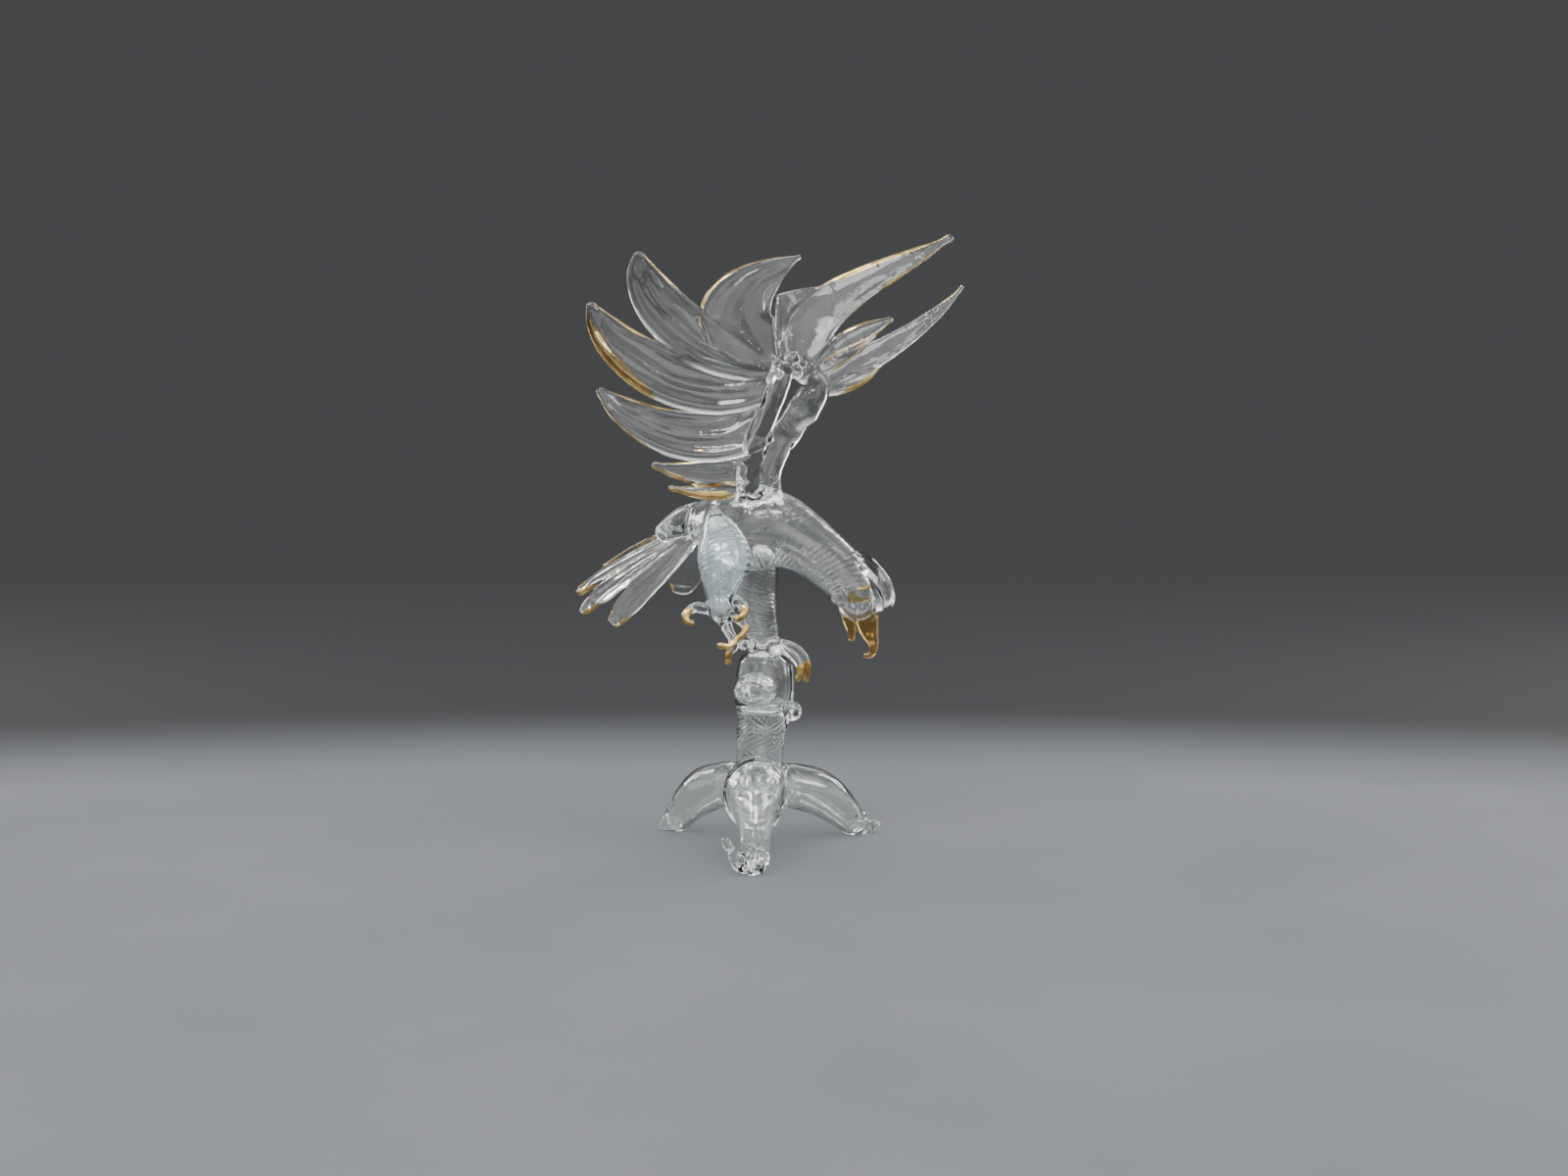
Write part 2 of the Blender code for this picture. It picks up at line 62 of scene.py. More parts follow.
# Drawn stock
BODY_RADIUS = 13.01
THIGH_RADIUS = 8.50
ARM_RADIUS = 4.59
TOE_RADIUS = 2.10
CLAW_RADIUS = 0.90
KNOB_RADIUS = 1.7
FEATHER_THICKNESS = 3.0
WALL = 1.3
THINNEST = 0.25
TRUNK_HEIGHT = 63.5
TRUNK_RADIUS = 8.9
TRUNK_LEAN = (2.9, 2.5)
SEAT_RADIUS = 5.41
STUB_RADIUS = 4.5
STUB_REACH = 14.0
BUTTON_RADIUS = 3.15
RIB_RADIUS = 1.1
HUB_HEIGHT = 18.5
ROOT_RADIUS = 7.7
ROOT_REACH = 38.5
SOLE_LEVEL = 63.8

# Fineness of the melted skins, in millimetres and in triangles
VOXEL = 0.42
EAGLE_FACES = 112000
BRANCH_FACES = 120000
SOFTEN_ROUNDS = 9
SOFTEN_PULLS = (0.50, -0.53)
DOME_STEPS = (0.2, 0.4, 0.58, 0.74, 0.87, 0.96)
FEATHER_STEPS = 72
TIP_TURNS = (14, 27, 40, 52, 63, 73, 82)

# The branch is cut off flat below the first of these heights and above the second
FLAT_LEVELS = ((0.0, -1), (TRUNK_HEIGHT, 1))
# How near to a level counts as on it, in metres, for the cut and for its normals
CUT_SNAP = 0.00002
LEVEL_PLAY = 0.000002

# Glass: light that has crossed more faces than DEEPEST_RAY goes straight on
GLASS_IOR = 1.47
DEEPEST_RAY = 6.5
WAVES = {"Broad": 230, "Fine": 850, "Fine share": 0.35}
WAVE_DEPTH = 0.00009
FILM_SCALE = 160
LUSTRE_SCALE = 240

FLOOR_RADIUS = 2.4
FLOOR_DROP = 0.00004
LIGHTS_AIM = Vector((0, 0, 0.10))
LENS = 49.5
CAMERA_AT = (0.00458, -0.70208, 0.178)
CAMERA_TILT = 90 - 7.5


def circle(sides):
    turn = np.linspace(0, 2 * math.pi, sides, endpoint=False)
    return np.stack((np.cos(turn), np.sin(turn)), axis=1)


def catmull(t, a, b, c, d):
    bend = 2 * a - 5 * b + 4 * c - d
    swing = 3 * b - a - 3 * c + d
    return b + 0.5 * t * (c - a + t * (bend + t * swing))


def through_rows(rows, count, closed=False):
    """Smooth curve through rows of numbers, sampled count times."""
    rows = np.array(rows, dtype=float)
    spans = len(rows) if closed else len(rows) - 1
    before, after = (rows[-1:], rows[:2]) if closed else (rows[:1], rows[-1:])
    rows = np.concatenate((before, rows, after))
    samples = []
    for place in np.linspace(0, spans, count, endpoint=not closed):
        i = min(int(place), spans - 1)
        samples.append(catmull(place - i, *rows[i:i + 4]))
    return np.array(samples)


# Feather sections: a thick roll along the outer edge, a web with a quill, and a thin rim
WIDE_BLADE = through_rows([
    (1, 0), (0.88, 0.92), (0.66, 1.22), (0.45, 0.62), (0.25, 0.45), (0.05, 0.86), (-0.15, 0.48),
    (-0.45, 0.38), (-0.8, 0.92), (-1, 0), (-0.82, -0.8), (-0.4, -0.4), (0.02, -0.5),
    (0.42, -0.56), (0.66, -1.05), (0.88, -0.8),
], 80, closed=True)
SMOOTH_BLADE = through_rows([
    (1, 0), (0.8, 0.92), (0.4, 0.62), (0, 0.6), (-0.45, 0.72), (-0.82, 0.85),
    (-1, 0), (-0.8, -0.8), (-0.4, -0.62), (0, -0.58), (0.45, -0.62), (0.82, -0.8),
], 60, closed=True)
SLIM_BLADE = through_rows([
    (1, 0), (0.66, 0.8), (0, 1), (-0.66, 0.8), (-1, 0), (-0.66, -0.8), (0, -1),
    (0.66, -0.8),
], 40, closed=True)


def unit(vectors):
    return vectors / np.linalg.norm(vectors, axis=-1, keepdims=True)


def smooth(value):
    value = min(1.0, max(0.0, value))
    return value * value * (3 - 2 * value)


# Closed skin of one limb. At each point, along runs from 0 at the root to 1 at the tip, across is
# the place over the section, distance is the length from the root, and around a share of a turn.
Skin = namedtuple("Skin", "name points faces along across distance around")


def loft(name, centres, across, through, sections, facing, blunt=False, sole=False, cap=1.0):
    """Skin over sections along centres. facing is where the thin side of a section looks, and cap
    is how far the ends bulge, as a share of a round end."""
    ahead = unit(np.gradient(centres, axis=0))
    side = unit(np.cross(facing, ahead))
    front = np.cross(ahead, side)
    last = len(centres) - 1
    places = np.linspace(0, 1, last + 1)
    steps = np.linalg.norm(np.diff(centres, axis=0), axis=1)
    lengths = np.concatenate(([0], np.cumsum(steps)))

    def ring(i, bulge=0.0, shrink=1.0):
        return (centres[i] + ahead[i] * bulge, side[i] * (across[i] * shrink),
                front[i] * (through[i] * shrink), places[i], lengths[i] + bulge, sections[i])

    def dome(i, sign):
        reach = sign * min(across[i], through[i]) * cap
        ends = [ring(i, reach * step, math.sqrt(1 - step * step)) for step in DOME_STEPS]
        return ends + [(centres[i] + ahead[i] * reach, None, None, places[i], lengths[i] + reach, None)]

    start = [] if blunt else dome(0, -1)[::-1]
    rings = start + [ring(i) for i in range(last + 1)] + ([] if sole else dome(last, 1))
    sides = len(sections[0])
    turns = np.linspace(0, 1, sides, endpoint=False)
    points, marks, loops = [], [], []
    for centre, width, depth, place, length, section in rings:
        first = len(points)
        if section is None:
            points.append(centre)
            marks.append((place, 0.0, length, 0.0))
        else:
            points += [centre + width * u + depth * v for u, v in section]
            marks += [(place, u, length, turn) for turn, (u, _) in zip(turns, section)]
        loops.append(list(range(first, len(points))))
    faces = []
    for near, far in zip(loops, loops[1:]):
        for k in range(sides):
            m = (k + 1) % sides
            corners = [near[i % len(near)] for i in (k, m)] + [far[i % len(far)] for i in (m, k)]
            # At a pole two corners are the same point
            faces.append(tuple(dict.fromkeys(corners)))
    if blunt:
        faces.append(tuple(loops[0][::-1]))
    if sole:
        faces.append(tuple(loops[-1]))
    return Skin(name, np.array(points), faces, *np.array(marks).T.copy())


def tube(name, rows, facing=(0, -1, 0), sides=40, pitch=0.6, flat=1.0, wall=0.0, part=(0, 1),
         sole=False, cap=1.0):
    """Round limb through rows of (x, y, z, radius). With a wall it is the hollow inside one,
    over part of its length."""
    coarse = through_rows(rows, 60)
    length = np.linalg.norm(np.diff(coarse[:, :3], axis=0), axis=1).sum()
    count = max(6, int(length / pitch))
    samples = through_rows(rows, count)
    first, last = (round(share * (count - 1)) for share in part)
    samples = samples[first:last + 1]
    radius = np.maximum(samples[:, 3] - wall, THINNEST)
    sections = [circle(sides)] * len(samples)
    return loft(name, samples[:, :3], radius, radius * flat, sections, facing, sole=sole, cap=cap)


def ball(name, x, y, z, radius):
    return tube(name, [(x, y, z - 0.1, radius), (x, y, z + 0.1, radius)], sides=28)


def scaled(rows, radius):
    """Rows whose last number is a share of a radius, with the radius put in."""
    return [(*row[:3], row[3] * radius) for row in rows]


def bezier(t, a, b, c, d):
    s = 1 - t
    return a * s ** 3 + b * (3 * s * s * t) + c * (3 * s * t * t) + d * t ** 3


def feather(name, line, width, fullest=0.45, taper=(2.6, 0.65), base=0.3, facing=(0, -1, 0),
            section=WIDE_BLADE, bead=1.6, melted=0.3):
    """Pressed feather along a cubic curve, widest at its fullest place. Its rims and quill are
    melted away at the root, up to a share of its length, and its tip is drawn to a round bead."""
    ends = np.array(line, dtype=float)
    half = FEATHER_THICKNESS / 2
    bead_from = 1 - bead / (3 * np.linalg.norm(ends[3] - ends[2]))
    even = np.linspace(0, 1, FEATHER_STEPS)
    body = (even + np.sin(math.pi / 2 * even)) / 2 * bead_from
    closing = np.radians(TIP_TURNS)
    places = np.concatenate((body, 1 - (1 - bead_from) * (1 - np.sin(closing))))
    shrink = np.concatenate((np.ones(len(body)), np.cos(closing)))
    centres = np.array([bezier(t, *ends) for t in places])
    plain = circle(len(section))
    wide, thick, sections = [], [], []
    for t, narrowed in zip(places, shrink):
        t = min(t, bead_from)
        if t < fullest:
            share = base + (1 - base) * math.sin(math.pi / 2 * t / fullest)
        else:
            share = (1 - ((t - fullest) / (1 - fullest)) ** taper[0]) ** taper[1]
        wide.append(max(width * share, bead) * narrowed)
        drawn = half * (1.15 - 0.5 * t)
        thick.append((drawn + (bead * 0.8 - drawn) * smooth((t - 0.86) / 0.12)) * narrowed)
        pressed = (0.15 + 0.85 * smooth(t / melted)) * (1 - 0.7 * smooth((t - 0.82) / 0.16))
        pressed *= 0.9 + 0.35 * noise.noise(Vector((t * 5, width, len(name))))
        sections.append(plain + (section - plain) * pressed)
    return loft(name, centres, np.array(wide), np.array(thick), sections, facing, blunt=True)


# Feathers, each along a line from its root to its tip, bent by the two places between
SLIM = dict(taper=(1.6, 0.8), section=SLIM_BLADE)
NEAR_WING = {
    "near_top": dict(line=((8, -22, 158), (-3.6, -23.8, 164), (-19.2, -24.2, 178), (13.8, -22, 193)),
        width=12.6, fullest=0.56, taper=(1.35, 0.9), base=0.1, facing=(0.04, -0.99, 0.08), bead=0.9,
        melted=0.85),
    "near_high": dict(line=((7, -22, 157.5), (-10, -23.8, 159), (-38, -26.5, 176), (-36.3, -30, 194)),
        width=8.3, fullest=0.48, taper=(2.6, 0.7), facing=(0, -0.99, 0.12)),
    "near_long": dict(line=((6, -22, 155.5), (-11, -24, 144.3), (-46, -29, 159), (-51.6, -33.5, 178.8)),
        width=8.8, fullest=0.42, taper=(2.2, 0.7), base=0.5, facing=(0.1, -0.98, 0.15)),
    "near_low": dict(line=((2, -20.5, 141), (-13, -25, 133), (-35, -28, 136), (-49.6, -32, 152.2)),
        width=8.1, fullest=0.35, taper=(2, 0.7), base=0.8, facing=(0.1, -0.96, 0.25)),
    "near_short": dict(SLIM,
        line=((-2, -15, 126), (-14, -18.5, 124.6), (-25, -21.5, 124.6), (-33.6, -24, 128.2)), width=4.9,
        fullest=0.2, base=0.9, facing=(0.1, -0.9, 0.4), bead=1.3),
    "near_least": dict(SLIM,
        line=((-3, -14.5, 120.5), (-13, -19, 118.3), (-21, -23, 119), (-28.3, -26, 121)), width=2.9,
        fullest=0.3, facing=(0.1, -0.9, 0.4), bead=1.1),
}

FAR_FACING = (0.32, -0.86, 0.39)
FAR_WING = {
    "far_long": dict(line=((13, 2, 156), (8, 9, 178.5), (45, 27, 188.5), (65.3, 44.5, 200.8)),
        width=8.3, fullest=0.25, taper=(1.15, 0.8), base=0.75, facing=(0.38, -0.86, 0.33),
        section=SMOOTH_BLADE, bead=1.4),
    "far_back": dict(line=((12.5, 3, 157), (12.5, 6, 166), (17.2, 10, 175.5), (14.4, 13.3, 183.2)),
        width=11, fullest=0.75, taper=(7, 0.5), base=0.66, facing=(0.36, -0.87, 0.34),
        section=SLIM_BLADE, bead=1, melted=3),
    "far_mid": dict(SLIM, line=((15.5, 3, 155.5), (25, 9.5, 164.5), (35, 16, 169), (44, 23.5, 173.2)),
        width=4.1, fullest=0.5, facing=FAR_FACING, bead=1.2),
    "far_small": dict(SLIM, line=((16, 2, 154.3), (23, 5, 158.5), (31, 9, 163), (38, 13.5, 168)),
        width=2.3, fullest=0.4, facing=(0.5, -0.8, 0.3), bead=0.8),
    "far_slender": dict(line=((15.5, 2, 152), (32, 9, 157), (58, 27, 171), (68.8, 38.5, 184.3)),
        width=5, fullest=0.28, taper=(1.1, 0.85), base=0.5, facing=FAR_FACING, section=SMOOTH_BLADE,
        bead=0.8),
    "far_least": dict(SLIM,
        line=((17.2, 2.4, 149.2), (27, 4.5, 151), (35, 8, 154), (39.8, 10.5, 158.6)), width=2.9,
        fullest=0.45, facing=FAR_FACING, bead=1),
}

TAIL_SHAPE = dict(fullest=0.7, taper=(3.2, 0.5), section=SMOOTH_BLADE, bead=2.0)
TAIL = {
    "tail_1": dict(TAIL_SHAPE,
        line=((-18.5, 7, 104.5), (-28.5, 7, 94.5), (-40, 7, 84.5), (-49.3, 7.5, 72.6)), width=4.9,
        facing=(-0.48, -0.76, 0.46)),
    "tail_2": dict(TAIL_SHAPE,
        line=((-19, 8.5, 105), (-32, 10.5, 97), (-46.5, 13.5, 88), (-60.3, 16.2, 75.3)), width=4.3,
        facing=(-0.5, -0.55, 0.65)),
    "tail_3": dict(TAIL_SHAPE,
        line=((-19, 10, 106), (-32, 13.5, 99.5), (-48, 18.5, 91.5), (-62, 22, 81.2)), width=4.3,
        facing=(-0.53, -0.32, 0.79)),
    "tail_4": dict(TAIL_SHAPE,
        line=((-18.6, 12, 105.8), (-31, 21, 102.5), (-44, 30, 96), (-54, 38, 87.5)), width=4.5,
        facing=(-0.45, 0.1, 0.87)),
    "tail_5": dict(TAIL_SHAPE, line=((-18.5, 13, 105), (-22, 27, 98), (-26, 40, 89), (-28, 48, 77.5)),
        width=6.6, fullest=0.66, taper=(2.4, 0.5), facing=(0.05, 0.57, 0.8)),
}
FEATHERS = {**NEAR_WING, **FAR_WING, **TAIL}

TORSO = scaled((
    (-22.5, 10.5, 106.5, 0.36), (-16.5, 6, 106.5, 0.66), (-9.5, 0.5, 105.7, 0.94),
    (-2.2, -4, 105.6, 1), (5.5, -7, 105.8, 0.97), (14, -9, 102, 0.8), (22, -11, 96.3, 0.7),
    (28, -12.5, 90.7, 0.66), (31, -13.5, 86, 0.63), (32, -14, 83.2, 0.46),
), BODY_RADIUS)
RUMP = scaled((
    (-15, 5, 107.5, 0.55), (-22.4, 9.2, 107.3, 0.43), (-27.6, 11.6, 105.4, 0.34),
    (-31.6, 13.2, 103, 0.25),
), BODY_RADIUS)
BROW = scaled((
    (31.5, -14.2, 99.2, 0.09), (36.2, -14.8, 95.8, 0.12), (39.6, -15.2, 91, 0.14),
    (41.8, -15.5, 86, 0.135), (41.6, -15.5, 83, 0.115), (39.4, -15.5, 81.6, 0.09),
), BODY_RADIUS)
BROW_NEAR = scaled((
    (30.5, -18, 96.5, 0.07), (35.2, -19.4, 92, 0.1), (37.9, -19.6, 87.5, 0.11), (38.8, -18.6, 82.8, 0.09),
), BODY_RADIUS)
BROW_FILL = scaled((
    (29.4, -14.2, 98.2, 0.17), (32.8, -14.6, 95.6, 0.27), (36, -14.9, 92, 0.34),
    (38.1, -15.1, 88, 0.37), (38.9, -15.2, 84.8, 0.32), (37.8, -15.2, 82.6, 0.2),
), BODY_RADIUS)
BEAK_UPPER = scaled((
    (33.8, -14, 82.5, 0.33), (34.4, -14.2, 78.5, 0.31), (35.1, -14.5, 74.6, 0.26),
    (36.3, -14.7, 71, 0.165), (36.8, -14.7, 68.3, 0.105), (36, -14.7, 66.1, 0.075),
    (34.1, -14.7, 65.9, 0.07),
), BODY_RADIUS)
BEAK_LOWER = scaled((
    (28.3, -14, 82.5, 0.22), (28.5, -14.2, 78.5, 0.165), (29.4, -14.5, 74.8, 0.125),
    (29.8, -14.7, 71.4, 0.085),
), BODY_RADIUS)
BEAK_WEB = scaled((
    (31.3, -14, 82.4, 0.26), (31.5, -14.2, 79, 0.2), (31.9, -14.3, 77, 0.14),
    (32.3, -14.4, 75.4, 0.09),
), BODY_RADIUS)
NEAR_THIGH = scaled((
    (-13, -4, 111.5, 0.5), (-13, -9, 107, 0.68), (-11.5, -13, 101.8, 0.94), (-11.1, -16, 96.4, 1),
    (-11.7, -18, 90.7, 0.83), (-12.2, -19, 85.5, 0.58), (-12, -20.5, 81.5, 0.5),
), THIGH_RADIUS)
FAR_LEG = scaled((
    (1, 0, 99, 0.62), (0, 1.5, 93, 0.73), (-1, 2.3, 85, 0.78), (-0.4, 2.5, 77, 0.76),
    (1.2, 2.5, 69.5, 0.64), (1.5, 2.5, 65.6, 0.6), (1.5, 2.5, SOLE_LEVEL, 0.6),
), THIGH_RADIUS)
NEAR_ARM = scaled((
    (-2, -8, 112, 1.05), (-2.7, -12.5, 118.5, 0.95), (-2.9, -16, 124.7, 0.87), (-1, -19, 133.6, 0.82),
    (2.5, -21, 143, 0.76), (6, -22, 151.5, 0.74), (7.5, -22, 157.5, 0.82),
), ARM_RADIUS)
FAR_ARM = scaled((
    (2, -3, 111, 1.15), (2.4, -0.5, 117.5, 1.05), (3.2, 1, 123.5, 0.88), (5.8, 1.8, 131, 0.9),
    (10.2, 2.6, 138.4, 1.02), (14.8, 3.2, 145, 1.15), (18, 3.4, 150.6, 1), (17, 3.2, 155.5, 0.62),
), ARM_RADIUS)
PALM = scaled((
    (-12.1, -19.5, 84.5, 0.5), (-11.8, -21, 82, 0.52), (-11, -22.2, 80, 0.38),
), THIGH_RADIUS)
# Clear toes, with gold on their claws, and the small clear knob of the standing foot
NEAR_TOES = (
    ((-12.9, -20.5, 82), (-16.8, -22, 82.2), (-20.2, -23.8, 82.7), (-23, -25.3, 81), (-22.7, -26, 78.8),
     (-21.2, -26, 78.1)),
    ((-10.4, -21, 85), (-6.9, -23.8, 84.8), (-4.6, -26, 83), (-4.7, -27.2, 80.9), (-7.2, -27.6, 79.8)),
    ((-12.4, -22, 80.8), (-10.4, -24.3, 77.4), (-8.7, -26.6, 74), (-7.6, -27.6, 72.4),
     (-9.2, -28.4, 71.2), (-11.9, -28.8, 71.3)),
)
NEAR_CLAWS = (
    ((-9.2, -23.5, 80.6), (-6.1, -26, 78.8), (-4.1, -27.2, 76.6), (-5.4, -27.8, 74.4), (-7.6, -27.8, 72.8)),
    ((-7.6, -27.6, 72.8), (-7.8, -27.8, 70.5), (-9.3, -28, 69), (-9.8, -28, 67), (-9.7, -28, 66.2)),
)
FAR_TOES = (
    ((2.5, 1.5, 66.6), (7.5, 0, 67), (11.8, -1.6, 65.9), (14.6, -2.2, 63), (15.9, -2.2, 59.4),
     (15.3, -1.8, 56)),
    ((1.9, 0.4, 66.4), (6, -4, 66.6), (9.9, -6, 65.2), (12.6, -7, 62.2), (13.4, -7.2, 59.2),
     (12.6, -6.8, 57)),
)
KNOB = ((0.3, 0.9, 66.7), (-3.4, -3.6, 67.4), (-5.6, -5.2, 68))
# Lumps of melted glass at the joins of the wings and arms, as (x, y, z, radius)
LUMPS = (
    (8.4, -22.4, 158.8, 3.4), (5.2, -22.8, 155.6, 2.7), (10.6, -21.4, 161, 2.3), (11.6, -20.6, 157, 2.2),
    (14.6, 2.2, 156, 3.8), (18, 2, 152.6, 3), (12.4, 3, 160, 2.6), (19.6, 3.2, 148.4, 2.4),
    (-4.6, -11, 116.6, 3.3), (1.2, -8.6, 117.4, 3), (4.2, -3.4, 117.6, 3.2), (-1.4, -13.4, 120, 2.6),
    (-19, 7.6, 106, 3.6), (-3.2, -13.6, 115.6, 2.4), (0.6, -12.6, 114.4, 2.2), (3.6, -9.6, 114.8, 2.6),
    (-7.2, -10.4, 113.8, 2.4), (-5.8, -13.2, 118.2, 1.8), (2.2, -12.4, 117.8, 1.7),
    (5.6, -5, 65.9, 1.9), (5.8, -6.2, 116.2, 2.3), (4.8, -2.6, 120.6, 2), (14.2, 2, 141.2, 2),
    (8.6, 1, 132.6, 1.8),
)


def toe(name, line, root=TOE_RADIUS):
    """Toe or claw drawn out along a line to a small bead."""
    rows = np.column_stack((line, np.linspace(root, CLAW_RADIUS, len(line))))
    bead = ball(name, *line[-1], CLAW_RADIUS * 1.2)
    bead.along[:] = 1.0
    return [tube(name, rows, sides=20, pitch=0.4, facing=(0.2, -0.9, 0.4)), bead]


def eagle_limbs():
    limbs = [
        tube("torso", TORSO, sides=72), tube("rump", RUMP), tube("brow", BROW, sides=24),
        tube("brow_near", BROW_NEAR, sides=24), tube("brow_fill", BROW_FILL, flat=0.95),
        tube("beak_upper", BEAK_UPPER, flat=0.72), tube("beak_web", BEAK_WEB, sides=24, flat=0.9),
        tube("knob", [(*point, KNOB_RADIUS) for point in KNOB], sides=24),
        tube("beak_lower", BEAK_LOWER, sides=24, flat=0.9), tube("near_thigh", NEAR_THIGH, sides=56),
        tube("far_leg", FAR_LEG, sides=48, sole=True), tube("near_arm", NEAR_ARM), tube("far_arm", FAR_ARM),
        tube("palm", PALM),
    ]
    for line in NEAR_TOES:
        limbs += toe("near_toe", line)
    for line in NEAR_CLAWS:
        limbs += toe("near_claw", line, CLAW_RADIUS * 1.5)
    for line in FAR_TOES:
        limbs += toe("far_toe", line)
    limbs += [ball("lump", *lump) for lump in LUMPS]
    return limbs + [feather(name, **shape) for name, shape in FEATHERS.items()]


def axis_at(up):
    """Middle of the leaning trunk at a share of its height."""
    return np.array((*TRUNK_LEAN, TRUNK_HEIGHT)) * up


def toward(angle, distance, height):
    turn = math.radians(angle)
    return np.array((distance * math.cos(turn), distance * math.sin(turn), height))


# Widths up the trunk, then places, heights and widths along the roots, all as shares
TRUNK_PROFILE = (
    (0.2, 0.6), (0.27, 0.96), (0.36, 0.94), (0.46, 0.89), (0.6, 0.91),
    (0.66, 0.88), (0.74, 1.0), (0.86, 1.02), (0.95, 0.94),
)
SIDE_ROOT = (
    (0.05, 1.02, 0.92), (0.24, 1.02, 1), (0.42, 0.96, 1), (0.58, 0.83, 1),
    (0.73, 0.6, 0.88), (0.86, 0.32, 0.7), (0.95, 0.14, 0.56), (1, 0.04, 0.46),
)
FRONT_ROOT = (
    (0.05, 1.0, 0.98), (0.2, 1.14, 1.2), (0.36, 1.16, 1.34), (0.52, 1.04, 1.16),
    (0.66, 0.8, 0.84), (0.79, 0.54, 0.7), (0.9, 0.34, 0.66), (0.98, 0.22, 0.56),
)
ROOTS = (
    (FRONT_ROOT, -89.6, ROOT_REACH * 1.02, -64, ROOT_RADIUS * 1.35, ROOT_RADIUS * 1.5),
    (SIDE_ROOT, 144.5, ROOT_REACH * 0.95, 15, ROOT_RADIUS * 0.45, ROOT_RADIUS * 0.34),
    (SIDE_ROOT, 22.5, ROOT_REACH * 1.02, -8, ROOT_RADIUS * 0.9, ROOT_RADIUS * 0.42),
)


def trunk_rows():
    rows = [(*axis_at(up), TRUNK_RADIUS * width) for up, width in TRUNK_PROFILE]
    shoulder = (*axis_at(0.985), (SEAT_RADIUS + TRUNK_RADIUS) / 2)
    crown = (*axis_at(1.02), SEAT_RADIUS * 0.88)
    return rows + [shoulder, crown]


def root_rows(profile, angle, reach):
    return [
        (*toward(angle, reach * along, HUB_HEIGHT * up), ROOT_RADIUS * width)
        for along, up, width in profile
    ]


def root_toe_rows(angle, reach, turn, length, rise):
    foot = toward(angle, reach * 0.95, 0)
    low = ROOT_RADIUS * 0.3
    rows = []
    for along, up, width in ((0, 0.35, 0.44), (0.35, 0.3, 0.40), (0.7, 0.6, 0.29), (1, 1, 0.17)):
        point = foot + toward(angle + turn, length * along, low + (rise - low) * up * along)
        rows.append((*point, ROOT_RADIUS * width))
    return rows


def stub_rows():
    out = unit(np.array((-0.27, -0.95, -0.10))) * STUB_REACH
    return [
        (*(axis_at(0.85) + out * along), STUB_RADIUS * width)
        for along, width in ((0.1, 1.1), (0.4, 1.40), (0.66, 1.52), (0.86, 1.36), (0.94, 1.08))
    ]


def coil_rows():
    """Thread of glass wound once around the front root's bulge and melted into it."""
    line = through_rows(root_rows(*ROOTS[0][:3]), 101)
    rows = []
    for turn in np.linspace(10, 345, 15):
        x, y, z, radius = line[round(24 + turn * 0.075)]
        lean = math.radians(turn)
        out = radius - 0.15
        rows.append((x + out * math.cos(lean), y, z + out * math.sin(lean), 1.0))
    return rows


def scar_rib_rows():
    return [
        (*(axis_at(up) + (TRUNK_RADIUS * out, 0, 0)), RIB_RADIUS)
        for up, out in ((0.93, 0.97), (0.84, 1.04), (0.72, 1.02), (0.655, 0.92), (0.61, 0.80))
    ]


def branch_limbs():
    limbs = [tube("trunk", trunk_rows(), sides=64)]
    for profile, angle, reach, *toe_shape in ROOTS:
        limbs.append(tube("root", root_rows(profile, angle, reach), facing=toward(angle + 90, 1, 0)))
        toe_rows = root_toe_rows(angle, reach, *toe_shape)
        limbs.append(tube("root_toe", toe_rows, facing=(0, 0, 1), sides=24, pitch=0.4))
    button = axis_at(0.712) + (TRUNK_RADIUS * 1.13, -TRUNK_RADIUS * 0.36, 0)
    return limbs + [
        tube("coil", coil_rows(), facing=(0, 1, 0), sides=20, pitch=0.4),
        tube("stub", stub_rows(), facing=(0, 0, 1), flat=0.80, cap=0.5),
        ball("button", *button, BUTTON_RADIUS),
        tube("scar_rib", scar_rib_rows(), sides=16, pitch=0.4),
    ]


def eagle_hollows():
    """Air inside the blown body, neck and head, and inside both thighs."""
    return [
        tube("torso", TORSO, part=(0.10, 0.98), sides=96, pitch=0.42, wall=WALL),
        tube("near_thigh", NEAR_THIGH, part=(0.22, 0.90), sides=64, pitch=0.26, wall=1.1),
        tube("far_leg", FAR_LEG, part=(0.12, 0.66), sides=72, pitch=0.24, wall=1.2),
    ]


def branch_hollows():
    """Air inside the trunk's two lengths, the stub and the roots."""
    rows = trunk_rows()
    return [
        tube("trunk_low", rows, part=(0.15, 0.55), sides=120, pitch=0.25, wall=WALL, cap=0.4),
        tube("trunk_high", rows, part=(0.62, 0.87), sides=56, pitch=0.5, wall=WALL, cap=0.5),
        tube("stub", stub_rows(), part=(0.50, 0.90), sides=32, pitch=0.5, wall=WALL,
             facing=(0, 0, 1), flat=0.76, cap=0.5),
    ] + [
        tube("root", root_rows(profile, angle, reach), part=(0.22, 0.76), sides=48, pitch=0.5,
             wall=WALL, facing=toward(angle + 90, 1, 0))
        for profile, angle, reach, *_ in ROOTS
    ]


def new_object(name, mesh):
    obj = bpy.data.objects.new(name, mesh)
    bpy.context.scene.collection.objects.link(obj)
    return obj


def mesh_of(name, points, faces, edges=()):
    mesh = bpy.data.meshes.new(name)
    mesh.from_pydata(points.tolist(), edges, faces)
    mesh.update()
    return mesh


def gathered(skins, shift):
    """All skins in one list of points in metres, with the faces renumbered."""
    faces = []
    start = 0
    for skin in skins:
        faces += [tuple(k + start for k in face) for face in skin.faces]
        start += len(skin.points)
    return (np.concatenate([skin.points for skin in skins]) + shift) * MM, faces


